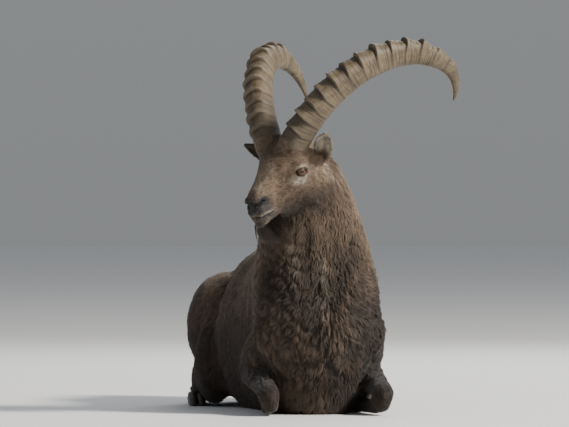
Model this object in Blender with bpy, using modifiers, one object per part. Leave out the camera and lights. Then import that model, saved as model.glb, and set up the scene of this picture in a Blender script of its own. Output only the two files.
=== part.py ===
"""A male alpine ibex lying on its brisket with its head up and turned to its right, life size.

Frame: metres, +Z up. The origin is on the floor under the chest, where the brisket rests.
The animal faces -Y and its left side is at +X. The floor is Z = 0.
"""
import math
import random

import bmesh
import bpy
import numpy as np
from mathutils import Matrix, Vector
from mathutils.bvhtree import BVHTree

# Whole animal
WITHERS_HEIGHT = 0.505
RUMP_HEIGHT = 0.440
BELLY_HALF_WIDTH = 0.205
CHEST_HALF_WIDTH = 0.168
RUMP_END = 0.825
SIDES = (("left", 1), ("right", -1))

# Fits between nodes and levels of detail
GAP = 0.0005
TRUNK_VOXEL = 0.009
TRUNK_TRIANGLES = 1780
HEAD_VOXEL = 0.0034
HEAD_TRIANGLES = 1900

# Head: the eye line's midpoint, and how the head is turned
HEAD_AT = Vector((-0.1065, -0.223, 0.637))
HEAD_TURN = math.radians(53)
NOSE_DROP = math.radians(22.1)
EYE_CENTRE = Vector((0.0575, -0.004, -0.005))
EYE_RADIUS = 0.0185
EYE_LOOK = Vector((0.85, -0.52, 0.04)).normalized()
LID_RADIUS = 0.0226
EYE_OPENING = (0.0178, 0.0100)
EYE_SLANT = math.radians(-8)

# Horns: length along the middle, and the way the curve starts and turns
HORN_LENGTH = 0.611
HORN_BASE = Vector((0.0500, 0.0219, 0.0713))
HORN_LEAN_BACK = 0.554
HORN_LEAN_OUT = 0.548
HORN_PLANE_TURN = -0.3315
HORN_TWIST = -0.887
HORN_BEND_START = 2.22
HORN_BEND_GAIN = 6.242
HORN_BEND_POWER = 1.961
HORN_HOOK = 5.5
HORN_DEPTH = 0.078
HORN_WIDTH = 0.066
HORN_ROOT = 0.020
KNOBS_AT = (0.025, 0.075, 0.145, 0.215, 0.295, 0.365, 0.430, 0.500, 0.560, 0.640, 0.700, 0.755, 0.800)
KNOB_HEIGHT = 0.0095

# Ears
EAR_LENGTH = 0.120
EAR_WIDTH = 0.042
EAR_THICKNESS = 0.005
EAR_ROOT = Vector((0.065, 0.084, 0.006))
EAR_POINTS = {"left": Vector((0.66, -0.34, 0.67)), "right": Vector((-0.90, -0.38, 0.10))}
EAR_CURL = {"left": Vector((0, 0, 0)), "right": Vector((0, 0, 0.034))}

# Beard and tail locks
BEARD_LOCKS = 14
BEARD_LENGTH = 0.062
TAIL_LOCKS = 8

WINTER_BROWN = (0.105, 0.067, 0.043)
LEG_BROWN = (0.045, 0.030, 0.022)
HORN_BROWN = (0.150, 0.110, 0.070)
HOOF_DARK = (0.035, 0.030, 0.027)
IRIS_AMBER = (0.190, 0.075, 0.030)


def clear_scene():
    for obj in list(bpy.data.objects):
        bpy.data.objects.remove(obj, do_unlink=True)
    parts = bpy.data.collections.new("alpine_ibex")
    cutters = bpy.data.collections.new("cutters")
    for collection in (parts, cutters):
        bpy.context.scene.collection.children.link(collection)
    return parts, cutters


PARTS, CUTTERS = clear_scene()


def finish_of(name, colour, roughness):
    """One Principled material for a finish, made once."""
    found = bpy.data.materials.get(name)
    if found:
        return found
    made = bpy.data.materials.new(name)
    made.use_nodes = True
    shader = made.node_tree.nodes["Principled BSDF"]
    shader.inputs["Base Color"].default_value = (*colour, 1.0)
    shader.inputs["Roughness"].default_value = roughness
    shader.inputs["Metallic"].default_value = 0.0
    return made


# Mesh helpers

def mesh_object(name, points, faces):
    """A helper object in the cutters' collection from points and faces that a function worked out."""
    data = bpy.data.meshes.new(name)
    data.from_pydata([tuple(p) for p in points], [], [tuple(f) for f in faces])
    data.validate()
    obj = bpy.data.objects.new(name, data)
    CUTTERS.objects.link(obj)
    obj.hide_render = True
    obj.display_type = "WIRE"
    return obj


def node(obj, name, material, smooth_angle=50):
    """Turns a finished helper into one of the animal's named parts."""
    CUTTERS.objects.unlink(obj)
    PARTS.objects.link(obj)
    obj.name = name
    obj.data.name = name
    obj.hide_render = False
    obj.display_type = "TEXTURED"
    obj.data.materials.clear()
    obj.data.materials.append(material)
    obj.data.shade_smooth()
    obj.data.set_sharp_from_angle(angle=math.radians(smooth_angle))
    return obj


def remove(*objects):
    for obj in objects:
        bpy.data.objects.remove(obj, do_unlink=True)


def apply_modifiers(obj):
    """Bakes an object's modifiers into its own mesh."""
    graph = bpy.context.evaluated_depsgraph_get()
    made = bpy.data.meshes.new_from_object(obj.evaluated_get(graph))
    obj.modifiers.clear()
    obj.data = made
    return obj


def smooth_rows(rows, steps):
    """Rows of sizes read more finely, along a Catmull-Rom curve through them."""
    rows = np.array(rows, float)
    ends = np.vstack([2 * rows[0] - rows[1], rows, 2 * rows[-1] - rows[-2]])
    made = []
    for i in range(len(rows) - 1):
        a, b, c, d = ends[i:i + 4]
        for t in np.linspace(0, 1, steps, endpoint=False):
            made.append(0.5 * (2 * b + (c - a) * t + (2 * a - 5 * b + 4 * c - d) * t ** 2
                               + (3 * b - a - 3 * c + d) * t ** 3))
    return np.array(made + [rows[-1]])


def round_power(value, power):
    """The superellipse's corner: 2 is round, more is squarer."""
    return math.copysign(abs(value) ** (2 / power), value)


def loft(name, rings):
    """A closed body through rings of equally many points, with a fan over each end."""
    sides = len(rings[0])
    points = [p for ring in rings for p in ring]
    faces = []
    for i in range(len(rings) - 1):
        for j in range(sides):
            k = (j + 1) % sides
            faces.append((i * sides + j, i * sides + k, (i + 1) * sides + k, (i + 1) * sides + j))
    for start in (0, (len(rings) - 1) * sides):
        ring = points[start:start + sides]
        middle = len(points)
        points.append(sum((Vector(p) for p in ring), Vector()) / sides)
        for j in range(sides):
            faces.append((start + j, start + (j + 1) % sides, middle))
    obj = mesh_object(name, points, faces)
    face_out(obj)
    return obj


def face_out(obj):
    shape = bmesh.new()
    shape.from_mesh(obj.data)
    bmesh.ops.recalc_face_normals(shape, faces=shape.faces)
    if shape.calc_volume(signed=True) < 0:
        bmesh.ops.reverse_faces(shape, faces=shape.faces)
    shape.to_mesh(obj.data)
    shape.free()


def limb(name, joints, sides=16, steps=4, lateral=Vector((1, 0, 0))):
    """A tapered limb through joints (x, y, z, half width, half depth), round in section."""
    rows = smooth_rows(joints, steps)
    places = [Vector(row[:3]) for row in rows]
    rings = []
    for i, row in enumerate(rows):
        along = (places[min(i + 1, len(rows) - 1)] - places[max(i - 1, 0)]).normalized()
        across = (lateral - along * lateral.dot(along)).normalized()
        deep = along.cross(across)
        rings.append([
            places[i] + across * (row[3] * math.cos(a)) + deep * (row[4] * math.sin(a))
            for a in (2 * math.pi * j / sides for j in range(sides))
        ])
    return loft(name, rings)


def ellipsoid(name, centre, radii, turn=None, segments=24, rings=14):
    shape = bmesh.new()
    bmesh.ops.create_uvsphere(shape, u_segments=segments, v_segments=rings, radius=1.0)
    turned = (turn or Matrix.Identity(3)).to_4x4()
    shape.transform(Matrix.Translation(Vector(centre)) @ turned @ Matrix.Diagonal((*radii, 1)))
    data = bpy.data.meshes.new(name)
    shape.to_mesh(data)
    shape.free()
    obj = bpy.data.objects.new(name, data)
    CUTTERS.objects.link(obj)
    obj.hide_render = True
    obj.display_type = "WIRE"
    return obj


def block(name, low, high):
    shape = bmesh.new()
    bmesh.ops.create_cube(shape, size=1.0)
    low, high = Vector(low), Vector(high)
    shape.transform(Matrix.Translation((low + high) / 2) @ Matrix.Diagonal((*(high - low), 1)))
    data = bpy.data.meshes.new(name)
    shape.to_mesh(data)
    shape.free()
    obj = bpy.data.objects.new(name, data)
    CUTTERS.objects.link(obj)
    obj.hide_render = True
    obj.display_type = "WIRE"
    return obj


def joined(name, pieces):
    """The pieces as one mesh, still crossing each other."""
    shape = bmesh.new()
    for piece in pieces:
        copy = piece.data.copy()
        copy.transform(piece.matrix_world)
        shape.from_mesh(copy)
        bpy.data.meshes.remove(copy)
    data = bpy.data.meshes.new(name)
    shape.to_mesh(data)
    shape.free()
    obj = bpy.data.objects.new(name, data)
    CUTTERS.objects.link(obj)
    obj.hide_render = True
    obj.display_type = "WIRE"
    remove(*pieces)
    return obj


def fused(name, pieces, voxel, rounds, triangles):
    """One smooth skin over crossing pieces: a voxel remesh, some smoothing, then fewer triangles."""
    obj = joined(name, pieces)
    remesh = obj.modifiers.new("remesh", "REMESH")
    remesh.mode = "VOXEL"
    remesh.voxel_size = voxel
    smooth = obj.modifiers.new("smooth", "SMOOTH")
    smooth.factor = 0.5
    smooth.iterations = rounds
    apply_modifiers(obj)
    keep_largest(obj)
    thin = obj.modifiers.new("thin", "DECIMATE")
    obj.data.calc_loop_triangles()
    thin.ratio = min(1.0, triangles / len(obj.data.loop_triangles))
    thin.use_collapse_triangulate = True
    return apply_modifiers(obj)


def keep_largest(obj):
    """Drops every closed surface of the mesh but the largest."""
    shape = bmesh.new()
    shape.from_mesh(obj.data)
    shape.faces.ensure_lookup_table()
    seen = set()
    groups = []
    for face in shape.faces:
        if face.index in seen:
            continue
        group, todo = [], [face]
        seen.add(face.index)
        while todo:
            f = todo.pop()
            group.append(f)
            for edge in f.edges:
                for other in edge.link_faces:
                    if other.index not in seen:
                        seen.add(other.index)
                        todo.append(other)
        groups.append(group)
    groups.sort(key=lambda g: sum(f.calc_area() for f in g), reverse=True)
    loose = [f for g in groups[1:] for f in g]
    if loose:
        bmesh.ops.delete(shape, geom=loose, context="FACES")
    shape.to_mesh(obj.data)
    shape.free()
    return obj


def boolean(obj, other, operation):
    """One Boolean, by the manifold solver: on these dense closed meshes the exact one drops pieces."""
    step = obj.modifiers.new(operation.lower(), "BOOLEAN")
    step.operation = operation
    step.solver = "MANIFOLD"
    step.object = other
    apply_modifiers(obj)
    return keep_largest(obj)


def grown(obj, name, by=GAP):
    """A copy of a body, larger all round by the gap that touching nodes keep."""
    copy = bpy.data.objects.new(name, obj.data.copy())
    copy.matrix_world = obj.matrix_world.copy()
    CUTTERS.objects.link(copy)
    copy.hide_render = True
    copy.display_type = "WIRE"
    swell = copy.modifiers.new("swell", "DISPLACE")
    swell.strength = by
    swell.mid_level = 0.0
    return apply_modifiers(copy)


def carve(obj, *others, by=GAP):
    """Cuts the room that each other body takes, with the gap, out of obj."""
    for other in others:
        cutter = grown(other, "cutter", by)
        boolean(obj, cutter, "DIFFERENCE")
        remove(cutter)
    return obj


def above_floor(obj):
    """Cuts off what is under the floor, which leaves the flat that the animal rests on."""
    under = block("under_floor", (-1, -1, -0.5), (1, 1.5, 0.0))
    boolean(obj, under, "DIFFERENCE")
    remove(under)
    return obj


def place(obj, matrix):
    obj.data.transform(matrix)
    obj.data.update()
    return obj


def head_matrix():
    """From the head's own frame, where the muzzle points along -Y, to its place."""
    turn = Matrix.Rotation(-HEAD_TURN, 4, "Z") @ Matrix.Rotation(NOSE_DROP, 4, "X")
    return Matrix.Translation(HEAD_AT) @ turn


def mirrored(point, side):
    return Vector((point[0] * side, point[1], point[2]))


# Trunk and neck

def trunk_barrel():
    """The chest, belly and hindquarters along Y: (y, top, middle, bottom, half width, squareness above)."""
    stations = (
        (-0.175, 0.390, 0.250, 0.060, 0.100, 2.0),
        (-0.130, 0.440, 0.250, 0.010, 0.138, 1.9),
        (-0.050, 0.488, 0.240, -0.030, 0.162, 1.75),
        (0.050, WITHERS_HEIGHT, 0.230, -0.045, 0.172, 1.65),
        (0.170, 0.480, 0.215, -0.045, 0.186, 1.7),
        (0.310, 0.452, 0.205, -0.045, BELLY_HALF_WIDTH, 1.85),
        (0.430, 0.442, 0.200, -0.040, 0.182, 1.70),
        (0.570, RUMP_HEIGHT, 0.205, -0.025, 0.170, 1.8),
        (0.670, 0.420, 0.215, -0.005, 0.152, 1.9),
        (0.750, 0.382, 0.225, 0.035, 0.122, 2.0),
        (0.800, 0.330, 0.235, 0.090, 0.085, 2.0),
        (RUMP_END, 0.280, 0.235, 0.160, 0.035, 2.0),
    )
    rings = []
    for y, top, middle, bottom, half, power in smooth_rows(stations, 3):
        ring = []
        for j in range(32):
            a = 2 * math.pi * j / 32
            above = math.sin(a) > 0
            c = round_power(math.cos(a), power if above else 2.3)
            s = round_power(math.sin(a), power if above else 2.3)
            ring.append(Vector((half * c, y, middle + s * ((top - middle) if above else (middle - bottom)))))
        rings.append(ring)
    return loft("barrel", rings)


def neck_column():
    """The brisket, chest and neck as stacked rings: (x, y, z, half width, half depth, lean forward)."""
    stations = (
        (0.0, -0.060, -0.030, 0.078, 0.090, 0.0),
        (0.0, -0.075, 0.060, 0.108, 0.130, 0.0),
        (0.0, -0.082, 0.130, 0.140, 0.158, 0.0),
        (0.0, -0.088, 0.200, 0.160, 0.174, 0.05),
        (0.0, -0.085, 0.280, CHEST_HALF_WIDTH, 0.178, 0.15),
        (-0.002, -0.085, 0.355, 0.163, 0.166, 0.30),
        (-0.007, -0.098, 0.425, 0.149, 0.142, 0.42),
        (-0.016, -0.122, 0.495, 0.130, 0.116, 0.50),
        (-0.020, -0.142, 0.555, 0.111, 0.098, 0.50),
        (-0.026, -0.152, 0.605, 0.092, 0.085, 0.45),
        (-0.034, -0.158, 0.650, 0.074, 0.070, 0.40),
        (-0.042, -0.158, 0.680, 0.045, 0.045, 0.40),
    )
    rings = []
    for x, y, z, half, deep, lean in smooth_rows(stations, 3):
        fore = Vector((0, -math.cos(lean), -math.sin(lean)))
        ring = []
        for j in range(32):
            a = 2 * math.pi * j / 32
            c, s = round_power(math.cos(a), 2.15), round_power(math.sin(a), 2.15)
            ring.append(Vector((x + half * c, y, z)) + fore * (deep * s))
        rings.append(ring)
    return loft("neck_column", rings)


def neck_to_head():
    """The gullet and nape that carry the turned head."""
    back = head_matrix() @ Vector((0, 0.075, -0.045))
    return limb("nape", (
        (-0.016, -0.100, 0.470, 0.118, 0.112),
        (-0.026, -0.135, 0.560, 0.086, 0.088),
        (back.x + 0.012, back.y + 0.003, back.z - 0.03, 0.066, 0.074),
        (back.x - 0.004, back.y - 0.004, back.z + 0.016, 0.050, 0.054),
    ))


def muscle_masses():
    """The forms under the coat that show in the outline: shoulders, haunches, thighs and shanks."""
    made = []
    for name, side in SIDES:
        made += [
            ellipsoid("shoulder", (side * 0.104, -0.005, 0.280), (0.062, 0.120, 0.165)),
            ellipsoid("point_of_shoulder", (side * 0.125, -0.140, 0.215), (0.050, 0.062, 0.070)),
            limb("upper_arm", (
                (side * 0.130, -0.140, 0.215, 0.042, 0.050),
                (side * 0.140, -0.050, 0.165, 0.046, 0.055),
                (side * 0.142, 0.030, 0.120, 0.042, 0.050),
                (side * 0.138, 0.060, 0.105, 0.030, 0.035),
            )),
            ellipsoid("haunch", (side * 0.144, 0.550, 0.212), (0.106, 0.185, 0.149)),
            ellipsoid("stifle", (side * 0.200, 0.392, 0.115), (0.053, 0.082, 0.112)),
            limb("shank", (
                (side * 0.196, 0.370, 0.105, 0.048, 0.086),
                (side * 0.200, 0.460, 0.085, 0.048, 0.074),
                (side * 0.199, 0.570, 0.066, 0.041, 0.055),
                (side * 0.194, 0.655, 0.050, 0.028, 0.040),
                (side * 0.190, 0.705, 0.045, 0.024, 0.030),
            )),
            ellipsoid("buttock", (side * 0.078, 0.735, 0.215), (0.062, 0.075, 0.120)),
        ]
    return made


# Head

HEAD_SECTIONS = (
    # (forward, top, middle, bottom, half width, squareness above, squareness below)
    (-0.114, 0.022, -0.012, -0.050, 0.028, 2.0, 2.0),
    (-0.098, 0.046, -0.008, -0.084, 0.050, 2.2, 2.0),
    (-0.062, 0.068, -0.006, -0.114, 0.061, 2.3, 1.9),
    (-0.022, 0.079, -0.002, -0.125, 0.065, 2.4, 1.8),
    (0.014, 0.073, -0.004, -0.124, 0.063, 2.5, 1.7),
    (0.040, 0.056, -0.012, -0.119, 0.050, 2.5, 1.7),
    (0.066, 0.036, -0.023, -0.113, 0.039, 2.5, 1.8),
    (0.090, 0.017, -0.033, -0.110, 0.032, 2.5, 2.0),
    (0.112, 0.001, -0.042, -0.108, 0.0285, 2.5, 2.2),
    (0.130, -0.010, -0.049, -0.104, 0.0270, 2.5, 2.4),
    (0.143, -0.022, -0.055, -0.094, 0.0230, 2.3, 2.3),
    (0.151, -0.036, -0.060, -0.082, 0.0130, 2.0, 2.0),
)


def head_core():
    """The skull, muzzle, cheeks, brows and lips as one smooth form, still without openings."""
    rings = []
    for ahead, top, middle, bottom, half, above, below in smooth_rows(HEAD_SECTIONS, 3):
        ring = []
        for j in range(36):
            a = 2 * math.pi * j / 36
            c, s = math.cos(a), math.sin(a)
            power = above if s > 0 else below
            reach = (top - middle) if s > 0 else (middle - bottom)
            ring.append(Vector((half * round_power(c, power), -ahead,
                                middle + reach * round_power(s, power))))
        rings.append(ring)
    pieces = [loft("skull", rings)]
    pieces.append(ellipsoid("chin", (0, -0.126, -0.097), (0.019, 0.022, 0.014)))
    pieces.append(ellipsoid("nose_pad", (0, -0.138, -0.042), (0.018, 0.014, 0.019)))
    for name, side in SIDES:
        start, along = horn_start(side)
        pieces += [
            ellipsoid("cheek", (side * 0.040, 0.034, -0.066), (0.024, 0.052, 0.048)),
            ellipsoid("cheekbone", (side * 0.052, -0.006, -0.006), (0.022, 0.040, 0.026)),
            ellipsoid("brow", (side * 0.055, 0.000, 0.021), (0.019, 0.030, 0.013)),
            ellipsoid("frontal", (side * 0.041, 0.008, 0.058), (0.036, 0.037, 0.027)),
            ellipsoid("under_eye", (side * 0.045, -0.012, -0.020), (0.020, 0.036, 0.026)),
            ellipsoid("lid_mass", mirrored(EYE_CENTRE, side), (LID_RADIUS,) * 3),
            ellipsoid("upper_lip", (side * 0.013, -0.129, -0.064), (0.014, 0.023, 0.014)),
            ellipsoid("nostril_wing", (side * 0.0145, -0.136, -0.034), (0.0115, 0.015, 0.012)),
            ellipsoid("lip_corner", (side * 0.025, -0.104, -0.077), (0.009, 0.022, 0.010)),
            ellipsoid("ear_base", (side * 0.057, 0.080, -0.002), (0.015, 0.019, 0.019)),
            limb("horn_collar", (
                (*(start - along * 0.045), 0.026, 0.032),
                (*(start - along * 0.015), 0.035, 0.042),
                (*(start + along * 0.003), 0.039, 0.046),
                (*(start + along * 0.016), 0.037, 0.044),
            )),
        ]
    return fused("head_core", pieces, HEAD_VOXEL, 5, HEAD_TRIANGLES)


def snapped(tree, point, sink=0.0):
    """The nearest place on the head's surface, moved in by sink."""
    place_, normal, _, _ = tree.find_nearest(Vector(point))
    return place_ - normal * sink


def open_face(head):
    """Eye openings between lids, the line of the mouth and the nostrils, cut into the head."""
    shape = bmesh.new()
    shape.from_mesh(head.data)
    tree = BVHTree.FromBMesh(shape)
    shape.free()
    for name, side in SIDES:
        centre, look = mirrored(EYE_CENTRE, side), mirrored(EYE_LOOK, side)
        ball = ellipsoid("socket", centre, (EYE_RADIUS + GAP,) * 3, segments=16, rings=10)
        along = Vector((0, -1, -math.tan(EYE_SLANT)))
        along = (along - look * along.dot(look)).normalized()
        turn = Matrix((along, look.cross(along), look)).transposed()
        opening = ellipsoid("opening", centre + look * EYE_RADIUS,
                            (EYE_OPENING[0], EYE_OPENING[1], 0.012), turn, segments=16, rings=6)
        boolean(ball, opening, "UNION")
        boolean(head, ball, "DIFFERENCE")
        nostril = limb("nostril", [
            (*snapped(tree, (side * x, -ahead, z), 0.002), wide, wide)
            for x, ahead, z, wide in (
                (0.0060, 0.149, -0.046, 0.0022), (0.0105, 0.146, -0.040, 0.0040),
                (0.0165, 0.140, -0.035, 0.0042), (0.0215, 0.130, -0.034, 0.0026),
                (0.0240, 0.123, -0.036, 0.0012))
        ], sides=7, steps=1)
        boolean(head, nostril, "DIFFERENCE")
        remove(ball, opening, nostril)
    mouth = [(x, ahead, z) for x, ahead, z in (
        (0.034, 0.098, -0.0720), (0.031, 0.109, -0.0765), (0.028, 0.121, -0.0790),
        (0.023, 0.135, -0.0790), (0.012, 0.147, -0.0780))]
    line = [(-x, y, z) for x, y, z in mouth] + [(0, 0.152, -0.0775)] + mouth[::-1]
    groove = limb("mouth_line", [
        (*snapped(tree, (x, -ahead, z), 0.0006),
         0.0022 - 0.0012 * (abs(x) > 0.033), 0.0017 - 0.0008 * (abs(x) > 0.033))
        for x, ahead, z in line
    ], sides=6, steps=1, lateral=Vector((0, 0, 1)))
    boolean(head, groove, "DIFFERENCE")
    remove(groove)
    return head


def lock(name, root, tip, width, thickness, bend, flat, steps=4):
    """A flat tapered lock of hair: a four-sided strip that bends on its way to a blunt tip."""
    root, tip = Vector(root), Vector(tip)
    along = (tip - root).normalized()
    flat = (flat - along * flat.dot(along)).normalized()
    out = along.cross(flat)
    rings = []
    for i in range(steps):
        t = i / (steps - 1)
        middle = root.lerp(tip, t) + out * (bend * math.sin(math.pi * t))
        w = width * (0.75 + 0.6 * t - 1.25 * t * t)
        h = thickness * (1 - 0.75 * t)
        rings.append([middle + flat * w, middle + out * h, middle - flat * w, middle - out * h])
    return loft(name, rings)


def union_all(obj, pieces, name):
    """One Boolean union with a collection of closed pieces, which are then removed."""
    together = bpy.data.collections.new(name)
    bpy.context.scene.collection.children.link(together)
    for piece in pieces:
        CUTTERS.objects.unlink(piece)
        together.objects.link(piece)
    step = obj.modifiers.new(name, "BOOLEAN")
    step.operation = "UNION"
    step.solver = "MANIFOLD"
    step.operand_type = "COLLECTION"
    step.collection = together
    apply_modifiers(obj)
    for piece in list(together.objects):
        bpy.data.objects.remove(piece, do_unlink=True)
    bpy.data.collections.remove(together)
    return keep_largest(obj)


def beard_locks():
    """Locks hanging from under the chin, longest at the back, in the head's own frame."""
    draw = random.Random(7)
    made = []
    for i in range(BEARD_LOCKS):
        row, column = divmod(i, 4)
        ahead = 0.134 - 0.014 * row
        x = (column - 1.5) * 0.0085 + draw.uniform(-0.001, 0.001)
        size = BEARD_LENGTH * (0.62 + 0.13 * row) * draw.uniform(0.85, 1.0) * (1 - 0.15 * abs(column - 1.5))
        root = Vector((x, -ahead, -0.088))
        tip = root + Vector((x * 0.4 + draw.uniform(-0.004, 0.004), 0.30 * size, -0.95 * size))
        made.append(lock("beard_lock", root, tip, 0.0066, 0.0024, -0.006,
                         Vector((1, 0.3 * (column - 1.5), 0))))
    return made


# Horns

def horn_start(side):
    """Where a horn leaves the skull, and the way it leaves."""
    back, out = HORN_LEAN_BACK, HORN_LEAN_OUT
    along = Vector((math.sin(out), math.sin(back) * math.cos(out), math.cos(back) * math.cos(out)))
    return mirrored(HORN_BASE, side), mirrored(along, side)


def horn_frames(side, count):
    """Places and directions (middle, along, inner side of the curve, across) down the horn's middle."""
    base, along = horn_start(1)
    inward = Vector((0, 1, 0)) - along * along.y
    inward = (Matrix.Rotation(HORN_PLANE_TURN, 3, along) @ inward).normalized()
    step = HORN_LENGTH / (count - 1)
    middle = base.copy()
    frames = []
    for i in range(count):
        frames.append((mirrored(middle, side), mirrored(along, side), mirrored(inward, side)))
        s = (i + 0.5) / (count - 1)
        hook = HORN_HOOK * min(max((s - 0.80) / 0.08, 0), 1) if side > 0 else 0.0
        angle = (HORN_BEND_START + HORN_BEND_GAIN * s ** HORN_BEND_POWER + hook) * step
        along, inward = (along * math.cos(angle) + inward * math.sin(angle),
                         inward * math.cos(angle) - along * math.sin(angle))
        inward = Matrix.Rotation(HORN_TWIST * step, 3, along) @ inward
        middle = middle + along * step
    return frames


def horn_size(t):
    """Half depth and half width of the bare horn at a share t of its length."""
    shape = ((0.0, 0.50, 0.50), (0.30, 0.49, 0.49), (0.50, 0.475, 0.44), (0.62, 0.42, 0.37),
             (0.74, 0.345, 0.29), (0.84, 0.245, 0.20), (0.93, 0.135, 0.115), (1.0, 0.028, 0.028))
    stations = [row[0] for row in shape]
    return (HORN_DEPTH * float(np.interp(t, stations, [row[1] for row in shape])),
            HORN_WIDTH * float(np.interp(t, stations, [row[2] for row in shape])))


def knob_lift(t):
    """How far the front stands out at t: steep on the side of the skull, then falling off slowly."""
    lift = 0.0
    for i, at in enumerate(KNOBS_AT):
        reach = KNOB_HEIGHT * (0.75 + 0.25 * math.sin(2.1 * i)) * (1 if at < 0.72 else 0.6)
        ahead = (t - at) * HORN_LENGTH
        if -0.004 < ahead <= 0:
            lift = max(lift, reach * (1 + ahead / 0.004))
        elif 0 < ahead < 0.024:
            lift = max(lift, reach * (1 - ahead / 0.024) ** 1.3)
    return lift


def horn_stations():
    """Shares of the length where a ring is needed: knobs get four each, plain lengths fewer."""
    made = {0.0, 1.0, 0.86, 0.90, 0.94, 0.975}
    for at in KNOBS_AT:
        made |= {at - 0.0065, at, at + 0.020}
    made = sorted(t for t in made if 0 <= t <= 1)
    kept = [made[0]]
    for t in made[1:]:
        if t - kept[-1] > 0.0060:
            kept.append(t)
    return kept


def horn(name, side):
    frames = horn_frames(side, 241)
    rings = []
    sides = 14
    for t in [-HORN_ROOT / HORN_LENGTH] + horn_stations():
        middle, along, inward = frames[int(round(max(t, 0) * 240))]
        if t < 0:
            middle = middle - along * HORN_ROOT
        across = along.cross(inward)
        deep, wide = horn_size(max(t, 0))
        lift = knob_lift(t)
        ring = []
        for j in range(sides):
            a = 2 * math.pi * j / sides
            front = -math.cos(a)
            flat = round_power(front, 2.5)
            half = wide * round_power(math.sin(a), 2.3) * (1.0 + 0.10 * front)
            depth = -deep * flat
            bump = lift * max(0.0, front) ** 0.6
            ring.append(middle + inward * (depth - bump) + across * half * (1 + 0.175 * bump / wide))
        rings.append(ring)
    obj = loft(name, rings)
    other_half = block("other_half", (-0.3, -0.3, -0.1), (0.0015, 0.5, 0.4))
    place(other_half, Matrix.Diagonal((side, 1, 1, 1)))
    face_out(other_half)
    boolean(obj, other_half, "DIFFERENCE")
    remove(other_half)
    return obj


# Ears and eyes

def ear(name, side_name, side):
    """A cupped leaf: a grid bent across its width, thickened into a shell."""
    root = mirrored(EAR_ROOT, side)
    up = EAR_POINTS[side_name].normalized()
    opening = Vector((0.35 * side, -0.90, 0.0))
    face = (opening - up * opening.dot(up)).normalized()
    across = up.cross(face)
    rows, columns = 8, 7
    points = []
    for i in range(rows):
        t = i / (rows - 1)
        middle = root + up * (EAR_LENGTH * t - 0.012) + EAR_CURL[side_name] * t ** 3
        half = 0.5 * EAR_WIDTH * (0.42 + 2.6 * t - 2.0 * t * t - 0.92 * t ** 4)
        half = max(half, 0.0022)
        cup = 0.92 - 0.42 * t
        for j in range(columns):
            u = 2 * j / (columns - 1) - 1
            bend = u * cup * math.pi / 2
            radius = half / max(math.sin(cup * math.pi / 2), 0.2)
            points.append(middle + across * (radius * math.sin(bend))
                          + face * (radius * (1 - math.cos(bend)) - 0.010 * math.sin(math.pi * t)))
    faces = []
    for i in range(rows - 1):
        for j in range(columns - 1):
            a = i * columns + j
            faces.append((a, a + 1, a + columns))
            faces.append((a + 1, a + columns + 1, a + columns))
    obj = mesh_object(name, points, faces)
    shell = obj.modifiers.new("shell", "SOLIDIFY")
    shell.thickness = EAR_THICKNESS
    shell.offset = 0.0
    shell.use_even_offset = False
    apply_modifiers(obj)
    face_out(obj)
    return obj


def hoof(name, root, tip, out, width=0.017):
    """One claw of a cloven hoof: a wedge, deep at the heel and pointed at the toe."""
    root, tip = Vector(root), Vector(tip)
    along = tip - root
    size = along.length
    along.normalize()
    out = (Vector(out) - along * Vector(out).dot(along)).normalized()
    up = along.cross(out)
    if up.z < 0:
        up = -up
    rings = []
    for t, wide, top, bottom in (
            (0.0, 0.80, 0.017, -0.016), (0.15, 0.95, 0.019, -0.019), (0.45, 1.0, 0.015, -0.020),
            (0.78, 0.80, 0.006, -0.020), (1.0, 0.35, -0.007, -0.018)):
        middle = root + along * (size * t)
        ring = []
        for j in range(8):
            a = 2 * math.pi * j / 8
            c, s = round_power(math.cos(a), 2.8), round_power(math.sin(a), 2.8)
            ring.append(middle + out * (width * wide * c) + up * ((top + bottom) / 2 + (top - bottom) / 2 * s))
        rings.append(ring)
    return loft(name, rings)


# Legs: the two sides lie a few millimetres apart along the body, as they do on an animal at rest

FORE_SHIFT = {"left": -0.006, "right": 0.0}
HIND_SHIFT = {"left": 0.008, "right": 0.0}


def foreleg(side, shift):
    """Forearm, cannon and two claws of a folded foreleg; shift moves the knee a little along the body."""
    knee_y = -0.232 + shift
    forearm = limb("forearm", (
        (side * 0.140, 0.070, 0.104, 0.026, 0.030),
        (side * 0.143, 0.030, 0.106, 0.040, 0.044),
        (side * 0.147, -0.060, 0.094, 0.038, 0.040),
        (side * 0.150, -0.150, 0.078, 0.029, 0.030),
        (side * 0.150, knee_y + 0.030, 0.066, 0.027, 0.028),
        (side * 0.149, knee_y, 0.058, 0.030, 0.029),
        (side * 0.148, knee_y - 0.018, 0.053, 0.027, 0.026),
        (side * 0.147, knee_y - 0.031, 0.048, 0.018, 0.017),
        (side * 0.147, knee_y - 0.037, 0.046, 0.007, 0.006),
    ), sides=10, steps=1)
    cannon = limb("fore_cannon", (
        (side * 0.147, knee_y - 0.030, 0.034, 0.007, 0.006),
        (side * 0.146, knee_y - 0.020, 0.032, 0.018, 0.017),
        (side * 0.146, knee_y - 0.008, 0.030, 0.023, 0.022),
        (side * 0.145, knee_y + 0.008, 0.026, 0.024, 0.023),
        (side * 0.140, knee_y + 0.050, 0.020, 0.019, 0.0205),
        (side * 0.132, -0.130 + shift, 0.018, 0.017, 0.0185),
        (side * 0.124, -0.080 + shift, 0.022, 0.021, 0.0235),
        (side * 0.119, -0.052 + shift, 0.023, 0.021, 0.0235),
        (side * 0.115, -0.032 + shift, 0.0225, 0.022, 0.0195),
    ), sides=10, steps=1)
    claws = []
    for place_name, sign in (("outer", 1), ("inner", -1)):
        root = (side * (0.1145 + sign * 0.0135), -0.042 + shift, 0.0205)
        tip = (side * (0.104 + sign * 0.0100), 0.026 + shift, 0.0175)
        claws.append((place_name, hoof("claw", root, tip, (side * sign, 0, 0), 0.0125)))
    return forearm, cannon, claws


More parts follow.
